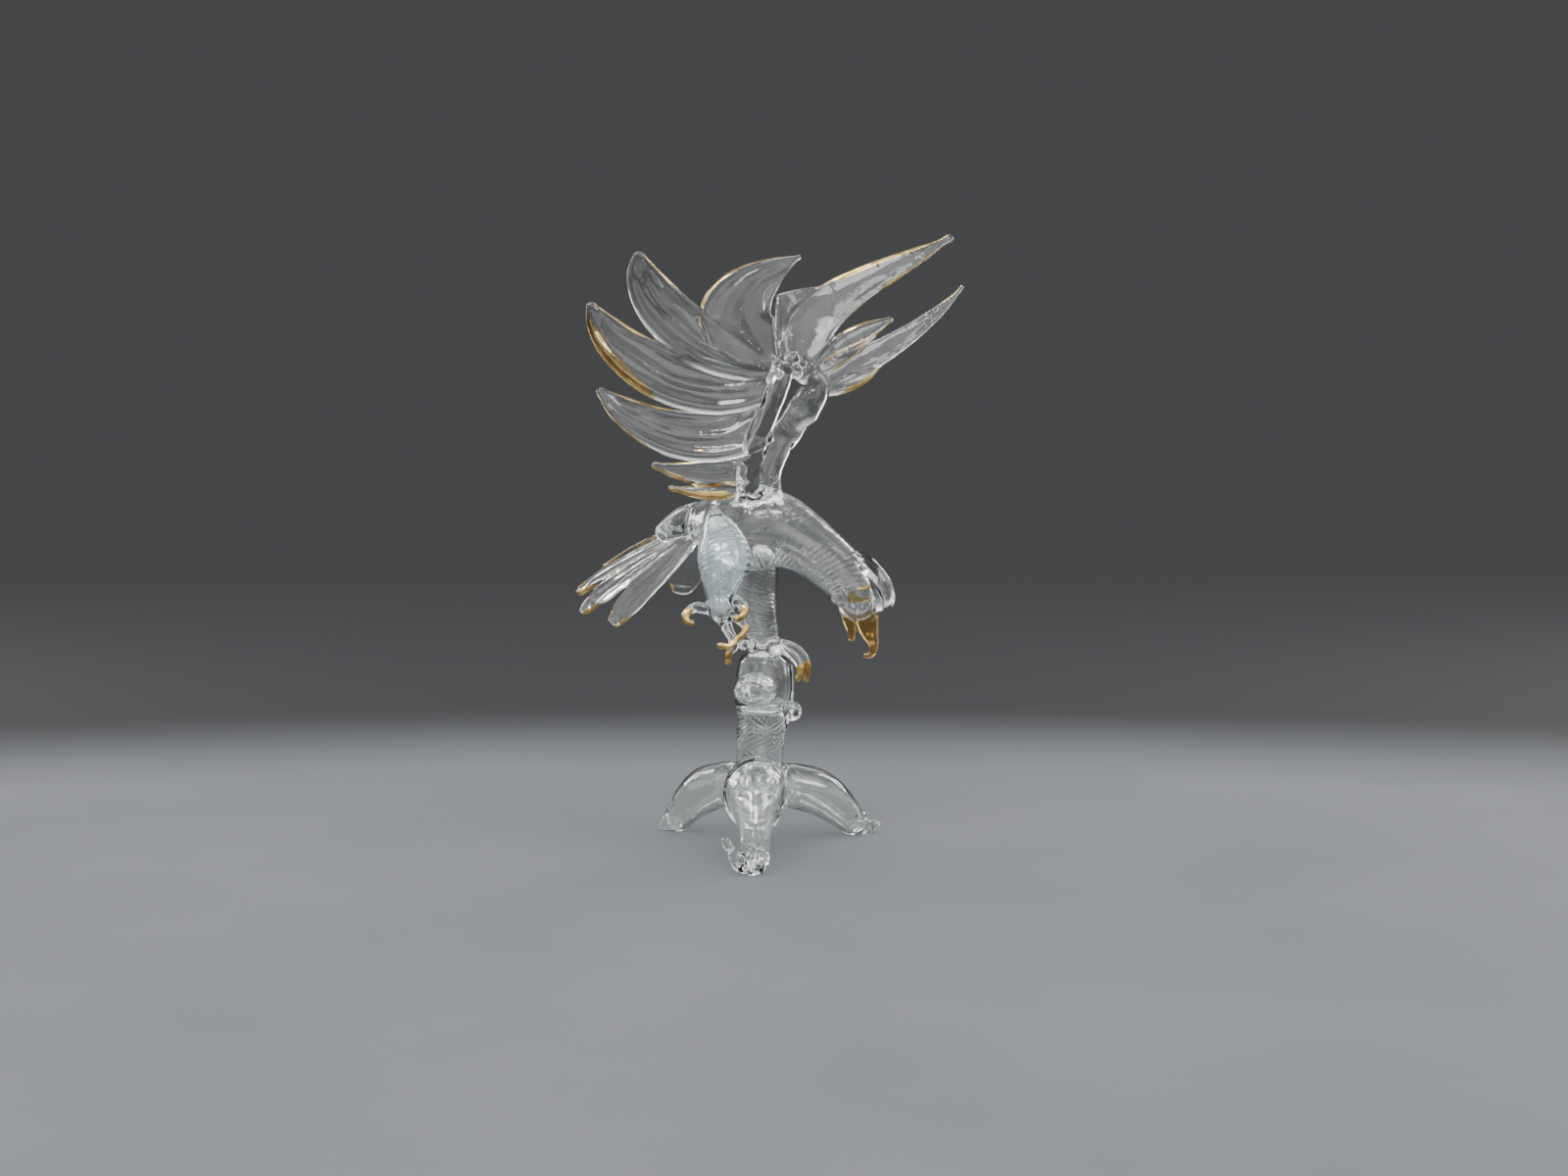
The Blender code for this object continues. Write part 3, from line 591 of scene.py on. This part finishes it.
def evaluated_mesh(obj):
    depsgraph = bpy.context.evaluated_depsgraph_get()
    mesh = bpy.data.meshes.new_from_object(obj.evaluated_get(depsgraph))
    obj.modifiers.clear()
    return mesh


def read(items, field, width, kind=float):
    """Numbers of a mesh's points, edges or faces, with one row for each."""
    values = np.empty(len(items) * width, dtype=kind)
    items.foreach_get(field, values)
    return values.reshape(-1, width)


def read_points(mesh):
    return read(mesh.vertices, "co", 3)


def read_normals(mesh):
    return read(mesh.vertex_normals, "vector", 3, np.float32).astype(float)


def read_triangles(mesh):
    mesh.calc_loop_triangles()
    return read(mesh.loop_triangles, "vertices", 3, np.int32)


def set_points(mesh, points):
    mesh.vertices.foreach_set("co", points.ravel())
    mesh.update()


def soften(points, edges):
    """Evens out the melted skin without making it thinner."""
    first, second = edges[:, 0], edges[:, 1]
    count = np.bincount(edges.ravel(), minlength=len(points))[:, None]
    for pull in SOFTEN_PULLS * SOFTEN_ROUNDS:
        total = np.zeros_like(points)
        np.add.at(total, first, points[second])
        np.add.at(total, second, points[first])
        points = points + (total / count - points) * pull
    return points


def nearest(tree, faces, points, place):
    """Corners of the face nearest to a place, and their weights at its nearest point."""
    spot, _, index, _ = tree.find_nearest(Vector(place))
    corners = list(faces[index])
    return corners, np.array(poly_3d_calc([Vector(points[i]) for i in corners], spot))


def normals_of(mesh):
    """Gives a function that reads the even normals of this fine skin at the points of a lighter one."""
    fine, normals = read_points(mesh), read_normals(mesh)
    faces = [tuple(face.vertices) for face in mesh.polygons]
    tree = BVHTree.FromPolygons(fine.tolist(), faces)

    def normals_at(points):
        found = np.empty_like(points)
        for k, point in enumerate(points):
            corners, weights = nearest(tree, faces, fine, point)
            found[k] = weights @ normals[corners]
        return unit(found)

    return normals_at


def melt(name, skins, shift, faces_wanted, dents):
    """Melts limbs that cross each other into one skin, with a little hand-made unevenness."""
    whole = new_object(name, mesh_of(name, *gathered(skins, shift)))
    remesh = whole.modifiers.new("Melt", "REMESH")
    remesh.mode = "VOXEL"
    remesh.voxel_size = VOXEL * MM
    mesh = whole.data = evaluated_mesh(whole)
    points = soften(read_points(mesh), read(mesh.edges, "vertices", 2, np.int32))
    set_points(mesh, points)
    points += read_normals(mesh) * worked(points, shift, dents)[:, None] * MM
    set_points(mesh, points)
    normals_at = normals_of(mesh)
    triangles = sum(len(face.vertices) - 2 for face in mesh.polygons)
    thin = whole.modifiers.new("Thin", "DECIMATE")
    thin.ratio = min(1.0, faces_wanted / triangles)
    mesh = whole.data = evaluated_mesh(whole)
    points, triangles = read_points(mesh), read_triangles(mesh)
    bpy.data.objects.remove(whole)
    return points, triangles, normals_at


def wave(point, size, seed):
    """Smooth noise over the metres, with hills about size millimetres wide."""
    return noise.noise(Vector(point) / (size * MM) + Vector((seed, seed * 2, seed * 3)))


# Places that were worked with the flame and the tweezers: (x, y, z, reach, height, size)
EAGLE_DENTS = (
    (11, 2.5, 139, 13, 1.3, 6.5), (8, -22, 158, 9, 0.8, 3.2), (15, 2, 153, 9, 0.8, 3.4),
    (-1, -11, 116, 11, 1.1, 3.4), (-3, -16, 129, 9, 0.6, 3.6), (35, -16, 88, 8, 0.35, 2.6),
    (-11, -22, 82, 6, 0.5, 2.2), (1.5, 1, 66.5, 8, 0.5, 2.6), (-22, 9, 105, 9, 0.6, 3.8),
)
BRANCH_DENTS = (
    (1, -12, 22, 13, 0.7, 5.5), (-3, -9, 53, 7, 0.6, 3), (2, 2, 63, 8, 0.35, 3.4),
    (37, 14, 4, 11, 1.1, 3), (-30, 21, 3, 10, 1.1, 3), (-4, -42, 4, 12, 1.1, 2.8),
)


def worked(points, shift, dents):
    """Height in millimetres of the waves that a flame leaves on drawn glass, and of the dents."""
    heights = np.array([0.15 * wave(p, 9, 3.1) + 0.06 * wave(p, 3.2, 7.7) for p in points])
    drawn = points / MM - shift
    for x, y, z, reach, height, size in dents:
        near = 1 - np.linalg.norm(drawn - (x, y, z), axis=1) / reach
        for k in np.flatnonzero(near > 0):
            heights[k] += height * smooth(near[k] * 1.6) * wave(points[k], size, 5.3)
    return heights


def cut_level(points, triangles, height, away):
    """Cuts a closed skin off level, on the side where away points, and closes it with a flat face."""
    bm = bmesh.new()
    bm.from_mesh(mesh_of("cut", points, triangles.tolist()))
    whole = bm.verts[:] + bm.edges[:] + bm.faces[:]
    cut = bmesh.ops.bisect_plane(bm, geom=whole, plane_co=(0, 0, height * MM), plane_no=(0, 0, away),
                                 clear_outer=True, dist=CUT_SNAP)
    rim = [item for item in cut["geom_cut"] if isinstance(item, bmesh.types.BMEdge)]
    bmesh.ops.edgeloop_fill(bm, edges=rim)
    bmesh.ops.recalc_face_normals(bm, faces=bm.faces)
    bmesh.ops.triangulate(bm, faces=bm.faces)
    mesh = bpy.data.meshes.new("cut")
    bm.to_mesh(mesh)
    bm.free()
    return read_points(mesh), read_triangles(mesh)


# Fired gold on each feather: (edge, from where, how far in, and to where if it
# doesn't run over the tip), as shares
PAST_TIP = 1.1
BOTH_TIPS = ((1, 0.7, 0.22), (-1, 0.76, 0.22))
GOLD_EDGES = {
    "near_top": ((1, 0.34, 0.1), (-1, 0.74, 0.09)),
    "near_high": ((-1, 0.52, 0.13), (1, 0.9, 0.12)),
    "near_long": ((-1, 0.46, 0.16), (1, 0.4, 0.62, 0.93)),
    "near_low": ((-1, 0.38, 0.15), (1, 0.45, 0.12)),
    "near_short": ((-1, 0.3, 0.3), (1, 0.45, 0.45)),
    "near_least": ((-1, 0.2, 0.4), (1, 0.1, 0.85)),
    "far_long": ((1, 0.28, 0.32), (-1, 0.4, 0.22)),
    "far_back": ((1, 0.94, 1),),
    "far_mid": ((1, 0.3, 0.3), (-1, 0.25, 0.28)),
    "far_small": ((1, 0.15, 0.25), (-1, 0.15, 0.3)),
    "far_slender": ((1, 0.6, 0.42), (-1, 0.82, 0.34)),
    "far_least": ((-1, 0.2, 0.55), (1, 0.8, 0.25)),
    "tail_1": BOTH_TIPS,
    "tail_2": BOTH_TIPS,
    "tail_3": BOTH_TIPS,
    "tail_4": ((-1, 0.3, 0.3), (1, 0.8, 0.16)),
    "tail_5": ((1, 0.72, 0.28), (-1, 0.86, 0.2)),
}
# Gold from this share of a limb's length to its tip
GOLD_FROM = {
    "beak_upper": 0.12, "beak_lower": 0.14, "beak_web": 0.1,
    "near_toe": 0.5, "near_claw": 0.42, "far_toe": 0.66,
}
# Brush strokes of the eye as (x, z) lines, painted on the head where y is below EYE_SIDE
EYE_SIDE = -15
EYE_STROKES = (
    ((28.5, 84.9), (29.8, 87.2)), ((29.8, 87.2), (31.2, 85.3)), ((28.7, 84.6), (30.4, 84)),
    ((30.4, 84.4), (32.6, 84.6)), ((32.6, 84.6), (35.3, 84.9)), ((32, 88.2), (35.8, 89)),
)
EYE_HALF_WIDTH = 0.62
# Least distance of the field from zero, so that no rim passes through a point
FIELD_FLOOR = 0.004
# Places in the eagle's list of materials
GOLD_SLOT = 1
THIN_GOLD_SLOT = 3


def gold_field(name, along, across, place):
    """Above zero where gold was fired on. place is the point in the drawing."""
    field = -1.0
    if name in GOLD_FROM:
        field = along - GOLD_FROM[name]
    for edge, start, reach, *to in GOLD_EDGES.get(name, ()):
        end = to[0] if to else PAST_TIP
        uneven = 1 + 0.35 * noise.noise(Vector((along * 9, edge * 4.0, len(name))))
        swell = math.sqrt(max(0.0, math.sin(math.pi * min(1.0, (along - start) / (end - start)))))
        if end > 1:
            swell = min(1.0, max(0.0, (along - start) * 8))
        inward = edge * across - (1 - reach * uneven * swell)
        field = max(field, min(inward, along - start, end - along))
    if name in ("torso", "brow_near") and place[1] < EYE_SIDE:
        for start, end in EYE_STROKES:
            field = max(field, 0.2 * (EYE_HALF_WIDTH - to_stroke(place[0], place[2], start, end)))
    return field


def to_stroke(x, z, start, end):
    run, rise = end[0] - start[0], end[1] - start[1]
    share = ((x - start[0]) * run + (z - start[1]) * rise) / (run * run + rise * rise)
    share = min(1.0, max(0.0, share))
    return math.hypot(x - start[0] - run * share, z - start[1] - rise * share)


def gold_over(points, skins, shift):
    """Gold field at each point of a melted skin, read from the nearest limb, and where the gold is
    so thin that the glass shows brown through it."""
    raw, faces = gathered(skins, shift)
    tree = BVHTree.FromPolygons(raw.tolist(), faces)
    names = [skin.name for skin in skins for _ in skin.points]
    along = np.concatenate([skin.along for skin in skins])
    across = np.concatenate([skin.across for skin in skins])
    field = np.empty(len(points))
    thin = np.zeros(len(points), dtype=bool)
    for k, point in enumerate(points):
        corners, weights = nearest(tree, faces, raw, point)
        name = names[corners[0]]
        over = weights @ across[corners]
        field[k] = gold_field(name, weights @ along[corners], over, point / MM - shift)
        thin[k] = name.startswith("beak") or (name == "near_long" and over > 0)
    field[np.abs(field) < FIELD_FLOOR] = FIELD_FLOOR
    return field, thin


def split_at_gold(points, triangles, field, thin):
    """Cuts the triangles along the rim of the gold, so that it has a clean edge. Gives the slot of
    each, with 0 for glass."""
    points = points.tolist()
    made = {}
    out, slots = [], []

    def crossing(a, b):
        key = (min(a, b), max(a, b))
        if key not in made:
            share = field[a] / (field[a] - field[b])
            made[key] = len(points)
            points.append([p + (q - p) * share for p, q in zip(points[a], points[b])])
        return made[key]

    for triangle in triangles.tolist():
        inside = [field[k] > 0 for k in triangle]
        lustre = THIN_GOLD_SLOT if thin[triangle[0]] else GOLD_SLOT
        if all(inside) or not any(inside):
            out.append(tuple(triangle))
            slots.append(inside[0] * lustre)
            continue
        lone = inside.index(sum(inside) == 1)
        a, b, c = triangle[lone], triangle[(lone + 1) % 3], triangle[(lone + 2) % 3]
        ab, ca = crossing(a, b), crossing(a, c)
        out += [(a, ab, ca), (ab, b, c), (ab, c, ca)]
        slots += [lustre * side for side in (inside[lone], not inside[lone], not inside[lone])]
    return np.array(points), out, slots


class Wiring:
    """Short way to place nodes in a tree, fill in their inputs and join them."""

    def __init__(self, tree):
        self.tree = tree

    def fill(self, node, inputs):
        """Gives each input its plain value, or joins it to the output that feeds it."""
        for key, value in inputs.items():
            if isinstance(value, bpy.types.NodeSocket):
                self.tree.links.new(value, node.inputs[key])
            else:
                node.inputs[key].default_value = value

    def node(self, kind, inputs=None, **settings):
        node = self.tree.nodes.new(kind)
        for key, value in settings.items():
            setattr(node, key, value)
        self.fill(node, inputs or {})
        return node

    def first(self, kind, inputs=None, **settings):
        return self.node(kind, inputs, **settings).outputs[0]

    def place(self, kind="Object"):
        return self.node("ShaderNodeTexCoord").outputs[kind]

    def math(self, operation, *values):
        return self.first("ShaderNodeMath", dict(enumerate(values)), operation=operation)

    def cloud(self, place, scale, detail):
        inputs = {"Vector": place, "Scale": scale, "Detail": detail}
        return self.node("ShaderNodeTexNoise", inputs).outputs["Fac"]

    def ranged(self, value, start, end, low=0.0, high=1.0, ease="SMOOTHSTEP"):
        return self.first("ShaderNodeMapRange", {
            "Value": value, "From Min": start, "From Max": end, "To Min": low, "To Max": high,
        }, interpolation_type=ease)

    def blend(self, share, a, b):
        inputs = {"Factor": share, "A": a, "B": b}
        return self.node("ShaderNodeMix", inputs, data_type="RGBA").outputs["Result"]


def new_tree(name, kind, inputs, outputs):
    """Wiring of a new tree with named inputs and outputs, and what its inputs give."""
    tree = bpy.data.node_groups.new(name, kind)
    for in_out, sockets in (("INPUT", inputs), ("OUTPUT", outputs)):
        for label, socket in sockets.items():
            tree.interface.new_socket(label, in_out=in_out, socket_type="NodeSocket" + socket)
    w = Wiring(tree)
    return w, w.node("NodeGroupInput").outputs


def ribs_tree():
    """Geometry Nodes: presses slanting ribs into a hollow's wall."""
    w, given = new_tree("Pressed ribs", "GeometryNodeTree", {
        "Geometry": "Geometry", "Pitch": "Float", "Depth": "Float", "Slant": "Float",
        "Material": "Material",
    }, {"Geometry": "Geometry"})

    def attribute(name):
        return w.first("GeometryNodeInputNamedAttribute", {"Name": name}, data_type="FLOAT")

    turns = w.math("MULTIPLY", attribute("around"), given["Slant"])
    phase = w.math("ADD", w.math("DIVIDE", attribute("distance"), given["Pitch"]), turns)
    press = w.math("SINE", w.math("MULTIPLY", phase, 2 * math.pi))
    depth = w.math("MULTIPLY", w.math("MULTIPLY", press, given["Depth"]), attribute("ribbed"))
    normal = w.first("GeometryNodeInputNormal")
    offset = w.first("ShaderNodeVectorMath", {0: normal, "Scale": depth}, operation="SCALE")
    moved = w.first("GeometryNodeSetPosition", {"Geometry": given["Geometry"], "Offset": offset})
    realized = w.first("GeometryNodeRealizeInstances", {0: moved})
    coated = w.first("GeometryNodeSetMaterial", {"Geometry": realized, "Material": given["Material"]})
    w.node("NodeGroupOutput", {0: coated})
    return w.tree


def seeds_tree():
    """Geometry Nodes: strings of tiny air seeds along the quills, facing into the glass."""
    w, given = new_tree("Air seeds", "GeometryNodeTree", {
        "Geometry": "Geometry", "Spacing": "Float", "Least": "Float", "Most": "Float",
        "Scatter": "Float", "Seed": "Int", "Material": "Material",
    }, {"Geometry": "Geometry"})
    path = w.first("GeometryNodeMeshToCurve", {"Mesh": given["Geometry"]})
    dots = w.node("GeometryNodeCurveToPoints", {"Curve": path, "Length": given["Spacing"]}, mode="LENGTH")
    shake = w.first("FunctionNodeRandomValue", {"Seed": given["Seed"]}, data_type="FLOAT_VECTOR")
    centred = w.first("ShaderNodeVectorMath", {0: shake, 1: (0.5, 0.5, 0.5)}, operation="SUBTRACT")
    spread = w.first("ShaderNodeVectorMath", {0: centred, "Scale": given["Scatter"]}, operation="SCALE")
    moved = w.first("GeometryNodeSetPosition", {"Geometry": dots.outputs["Points"], "Offset": spread})
    ball_mesh = w.first("GeometryNodeMeshIcoSphere", {"Radius": 1.0, "Subdivisions": 2})
    size = w.node("FunctionNodeRandomValue", {
        2: given["Least"], 3: given["Most"], "Seed": given["Seed"],
    }, data_type="FLOAT").outputs[1]
    placed = w.first("GeometryNodeInstanceOnPoints", {"Points": moved, "Instance": ball_mesh, "Scale": size})
    realized = w.first("GeometryNodeRealizeInstances", {0: placed})
    turned = w.first("GeometryNodeFlipFaces", {"Mesh": realized})
    coated = w.first("GeometryNodeSetMaterial", {"Geometry": turned, "Material": given["Material"]})
    w.node("NodeGroupOutput", {0: coated})
    return w.tree


def grown(mesh, tree, values):
    """Runs a Geometry Nodes tree on a mesh and gives back the plain mesh that it makes."""
    obj = new_object("grown", mesh)
    modifier = obj.modifiers.new("Nodes", "NODES")
    modifier.node_group = tree
    for item in tree.interface.items_tree:
        if item.item_type == "SOCKET" and item.in_out == "INPUT" and item.name in values:
            modifier[item.identifier] = values[item.name]
    made = evaluated_mesh(obj)
    bpy.data.objects.remove(obj)
    return made


# Pressed ribs in each hollow: pitch, depth and slant, then the part of its length that has them
RIBS = {
    "torso": (1.8, 0.3, 9, 0.26, 0.86),
    "near_thigh": (1.6, 0.26, -6, 0, 0.62),
    "far_leg": (1.6, 0.28, 7, 0, 1),
    "trunk_low": (1.7, 0.3, -14, 0.2, 1),
}


def rib_hollow(skin, shift, tree, material):
    """Wall of a hollow as a mesh that faces into the air, with its pressed ribs."""
    points = (skin.points + shift) * MM
    mesh = mesh_of("hollow", points, [face[::-1] for face in skin.faces])
    pitch, depth, slant, start, end = RIBS.get(skin.name, (1.0, 0.0, 0, 0, 1))
    fade = np.clip(np.minimum(skin.along - start, end - skin.along) * 12, 0, 1)
    if depth:
        fade *= [smooth(0.40 + 1.9 * wave(point, 10, 2.2)) for point in points]
    for name, values in (("distance", skin.distance * MM), ("around", skin.around), ("ribbed", fade)):
        mesh.attributes.new(name, "FLOAT", "POINT").data.foreach_set("value", values.astype(np.float32))
    return grown(mesh, tree, {
        "Pitch": pitch * MM, "Depth": depth * MM, "Slant": float(slant), "Material": material,
    })


def seed_paths():
    """Lines inside the feathers' quills that seeds were drawn out along."""
    points, edges = [], []
    for shape in list(NEAR_WING.values())[:4] + [FAR_WING["far_long"], FAR_WING["far_slender"]]:
        ends = np.array(shape["line"], dtype=float)
        first = len(points)
        points += [(bezier(t, *ends) + EAGLE_SHIFT) * MM for t in np.linspace(0.10, 0.62, 24)]
        edges += [(k, k + 1) for k in range(first, len(points) - 1)]
    return mesh_of("quills", np.array(points), [], edges)


def ripple_group():
    """Shader group: height of the fine waves and flame marks on fire-polished glass."""
    w, given = new_tree("Flame ripple", "ShaderNodeTree",
                        {"Broad": "Float", "Fine": "Float", "Fine share": "Float"}, {"Height": "Float"})
    place = w.place()
    broad, fine = (w.cloud(place, given[label], 1.5) for label in ("Broad", "Fine"))
    w.node("NodeGroupOutput", {0: w.math("ADD", broad, w.math("MULTIPLY", fine, given["Fine share"]))})
    return w.tree


def film_group():
    """Shader group: roughness of glass or gold, with a faint film of handling and dust."""
    w, given = new_tree("Handling film", "ShaderNodeTree",
                        {"Clean": "Float", "Filmed": "Float", "Scale": "Float"}, {"Roughness": "Float"})
    patches = w.cloud(w.place(), given["Scale"], 4)
    w.node("NodeGroupOutput", {0: w.ranged(patches, 0.48, 0.72, given["Clean"], given["Filmed"])})
    return w.tree


def new_material(name):
    material = bpy.data.materials.new(name)
    material.use_nodes = True
    return material, Wiring(material.node_tree), material.node_tree.nodes["Principled BSDF"]


def let_through(w, shader, share, colour=(1, 1, 1, 1)):
    """Lets a share of the light pass straight through a material."""
    clear = w.first("ShaderNodeBsdfTransparent", {"Color": colour})
    mix = w.first("ShaderNodeMixShader", {0: share, 1: shader.outputs[0], 2: clear})
    w.fill(w.tree.nodes["Material Output"], {"Surface": mix})


def finish(name, ripple, film, colour, metallic=0.0, transmission=1.0, roughness=(0.0, 0.05),
           shadow=(0.88, 0.90, 0.89), tints=None):
    """Material of one glass or lustre finish. Shadow rays pass through it as through real glass."""
    material, w, shader = new_material(name)
    waves = w.node("ShaderNodeGroup", WAVES, node_tree=ripple).outputs["Height"]
    bump = w.first("ShaderNodeBump", {"Strength": 1.0, "Distance": WAVE_DEPTH, "Height": waves})
    touch = w.node("ShaderNodeGroup", {
        "Clean": roughness[0], "Filmed": roughness[1], "Scale": FILM_SCALE,
    }, node_tree=film).outputs["Roughness"]
    w.fill(shader, {
        "Base Color": (*colour, 1), "Metallic": metallic, "Transmission Weight": transmission,
        "IOR": GLASS_IOR, "Normal": bump, "Roughness": touch,
    })
    if tints:
        patches = w.cloud(w.place(), LUSTRE_SCALE, 3)
        ramp = w.node("ShaderNodeValToRGB", {0: patches})
        for element, position, tint in zip(ramp.color_ramp.elements, (0.35, 0.65), tints):
            element.position = position
            element.color = (*tint, 1)
        w.fill(shader, {"Base Color": ramp.outputs[0]})
    path = w.node("ShaderNodeLightPath").outputs
    spent = w.math("GREATER_THAN", path["Ray Depth"], DEEPEST_RAY)
    let_through(w, shader, w.math("MAXIMUM", path["Is Shadow Ray"], spent), (*shadow, 1))
    return material


def assemble(name, points, faces, slots, materials, extras, normals_at, flat_levels=()):
    """One piece from its outer skin and the walls and seeds inside it."""
    mesh = mesh_of(name, points, faces)
    for material in materials:
        mesh.materials.append(material)
    mesh.polygons.foreach_set("material_index", np.array(slots, dtype=np.int32))
    piece = new_object(name, mesh)
    bm = bmesh.new()
    bm.from_mesh(mesh)
    for extra in extras:
        before = len(bm.faces)
        bm.from_mesh(extra)
        bm.faces.ensure_lookup_table()
        places = [materials.index(material) if material else 0 for material in extra.materials]
        for face in bm.faces[before:]:
            face.material_index = places[face.material_index]
    bm.to_mesh(mesh)
    bm.free()
    mesh.shade_smooth()

    # Even normals for the outer skin, level ones for the cut faces, and the mesh's own elsewhere
    skin_normals = np.zeros((len(mesh.vertices), 3))
    skin_normals[:len(points)] = normals_at(points)
    corner_normals = skin_normals[read(mesh.loops, "vertex_index", 1, np.int32)[:, 0]]
    outer = corner_normals[:len(faces) * 3].reshape(-1, 3, 3)
    heights = points[:, 2][np.array(faces)]
    for height, up in flat_levels:
        outer[np.all(np.abs(heights - height * MM) < LEVEL_PLAY, axis=1)] = (0, 0, up)
    mesh.normals_split_custom_set(corner_normals.tolist())
    return piece


def floor_with_painted_light_pool():
    """Pale floor with a painted pool of light: its colour darkens with distance from the figure into the
    dark surround, and further out it turns see-through.
    """
    mesh = bpy.data.meshes.new("floor")
    bm = bmesh.new()
    bmesh.ops.create_circle(bm, cap_ends=True, radius=FLOOR_RADIUS, segments=96)
    bmesh.ops.translate(bm, verts=bm.verts, vec=(0, 0, -FLOOR_DROP))
    bm.to_mesh(mesh)
    bm.free()
    material, w, shader = new_material("floor")
    place = w.place()
    # Middle and stretch of the painted pool of light on the floor
    light_pool_place = w.first("ShaderNodeMapping", {"Vector": place, "Location": (0, 0.35, 0), "Scale": (0.6, 1, 1)})
    reach = w.node("ShaderNodeVectorMath", {0: light_pool_place}, operation="LENGTH").outputs["Value"]
    tone = w.blend(w.cloud(place, 9, 4), (0.122, 0.126, 0.133, 1), (0.089, 0.093, 0.100, 1))
    # Painted pool of light: the floor colour turns from the pale tone to near black away from the figure,
    # standing in for the light's falloff
    colour = w.blend(w.ranged(reach, 0.44, 0.60), tone, (0.016, 0.0165, 0.018, 1))
    w.fill(shader, {"Base Color": colour, "Roughness": 0.85, "Specular IOR Level": 0.2})
    let_through(w, shader, w.ranged(reach, 0.6, 1.2))
    mesh.materials.append(material)
    new_object("floor", mesh)


def surround():
    """Dark room behind, with a soft bright ceiling, front wall and sides of cloth."""
    world = bpy.data.worlds.new("surround")
    world.use_nodes = True
    w = Wiring(world.node_tree)
    place = w.place("Generated")
    heading = w.node("ShaderNodeSeparateXYZ", {0: place}).outputs
    ceiling = w.ranged(heading["Z"], 0.12, 0.66)
    front = w.ranged(heading["Y"], 0.5, -0.6, low=0.35, ease="LINEAR")
    wall = w.ranged(heading["Y"], -0.30, -0.85, high=0.8)
    sides = w.ranged(w.math("ABSOLUTE", heading["X"]), 0.55, 0.95, high=0.45)
    lit = w.math("MAXIMUM", w.math("MULTIPLY", ceiling, front), w.math("MAXIMUM", wall, sides))
    folds = w.ranged(w.cloud(place, 2.6, 2), 0.35, 0.65, 0.35, 1.4, ease="LINEAR")
    glow = w.blend(w.math("MULTIPLY", lit, folds), (0.068, 0.069, 0.073, 1), (2.75, 2.79, 2.81, 1))
    w.fill(world.node_tree.nodes["Background"], {"Color": glow})
    bpy.context.scene.world = world


def lights():
    """Soft boxes, as (name, place, size, power)."""
    for name, spot, size, power in (
        ("key", (-0.55, -0.75, 1.05), (0.34, 0.24), 9),
        ("fill", (0.85, -0.45, 0.55), (0.20, 0.36), 3),
        ("window", (0.08, -0.62, 1.00), (0.30, 0.20), 5),
        ("top", (0.15, 0.10, 1.10), (0.36, 0.22), 4),
        ("rim_left", (-0.75, 0.55, 0.45), (0.14, 0.55), 4),
        ("rim_right", (0.70, 0.65, 0.55), (0.14, 0.55), 5),
    ):
        light = bpy.data.lights.new(name, "AREA")
        light.shape = "RECTANGLE"
        light.size, light.size_y = size
        light.energy = power
        lamp = new_object(name, light)
        lamp.location = spot
        lamp.rotation_euler = (LIGHTS_AIM - lamp.location).to_track_quat("-Z", "Y").to_euler()
        lamp.visible_camera = False


def camera():
    data = bpy.data.cameras.new("camera")
    data.lens = LENS
    data.sensor_width = 36
    view = new_object("camera", data)
    view.location = CAMERA_AT
    view.rotation_euler = (math.radians(CAMERA_TILT), 0, 0)
    bpy.context.scene.camera = view


def main():
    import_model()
    ripple, film = ripple_group(), film_group()
    clear = finish("clear glass", ripple, film, (0.975, 0.985, 0.975))
    gold = finish("gold lustre", ripple, film, (0.95, 0.62, 0.18), metallic=0.65, roughness=(0.05, 0.20),
                  shadow=(0.62, 0.45, 0.20), tints=((0.44, 0.28, 0.075), (0.77, 0.56, 0.21)))
    thin_gold = finish("thin gold", ripple, film, (0.80, 0.50, 0.14), metallic=0.22, roughness=(0.04, 0.16),
                       shadow=(0.62, 0.42, 0.16), tints=((0.31, 0.20, 0.055), (0.54, 0.37, 0.125)))
    opal = finish("opal glass", ripple, film, (0.78, 0.91, 0.96), transmission=0.87, roughness=(0.03, 0.12))
    stand = finish("branch glass", ripple, film, (0.955, 0.975, 0.955))
    ribs, seeds = ribs_tree(), seeds_tree()

    limbs = eagle_limbs()
    points, triangles, normals_at = melt("eagle", limbs, EAGLE_SHIFT, EAGLE_FACES, EAGLE_DENTS)
    points, faces, slots = split_at_gold(points, triangles, *gold_over(points, limbs, EAGLE_SHIFT))
    extras = [
        rib_hollow(skin, EAGLE_SHIFT, ribs, opal if skin.name == "near_thigh" else clear)
        for skin in eagle_hollows()
    ]
    extras.append(grown(seed_paths(), seeds, {
        "Spacing": 1.4 * MM, "Least": 0.10 * MM, "Most": 0.26 * MM, "Scatter": 1.1 * MM, "Seed": 7,
        "Material": clear,
    }))
    eagle = assemble("eagle_glass", points, faces, slots, [clear, gold, opal, thin_gold], extras,
                     normals_at)

    points, triangles, normals_at = melt("branch", branch_limbs(), BRANCH_SHIFT, BRANCH_FACES,
                                         BRANCH_DENTS)
    for height, away in FLAT_LEVELS:
        points, triangles = cut_level(points, triangles, height, away)
    extras = [rib_hollow(skin, BRANCH_SHIFT, ribs, stand) for skin in branch_hollows()]
    branch = assemble("branch_glass", points, triangles.tolist(), [0] * len(triangles), [stand], extras,
                      normals_at, FLAT_LEVELS)

    for piece, node, slot in ((eagle, "eagle", "eagle_glass"), (branch, "branch_stand", "branch_glass")):
        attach(piece, "root")
        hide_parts(node)

    floor_with_painted_light_pool()
    surround()
    lights()
    camera()
    scene = bpy.context.scene
    scene.cycles.max_bounces = 24
    scene.cycles.transmission_bounces = 22
    scene.cycles.transparent_max_bounces = 24
    scene.cycles.caustics_refractive = False
    scene.cycles.caustics_reflective = False


main()
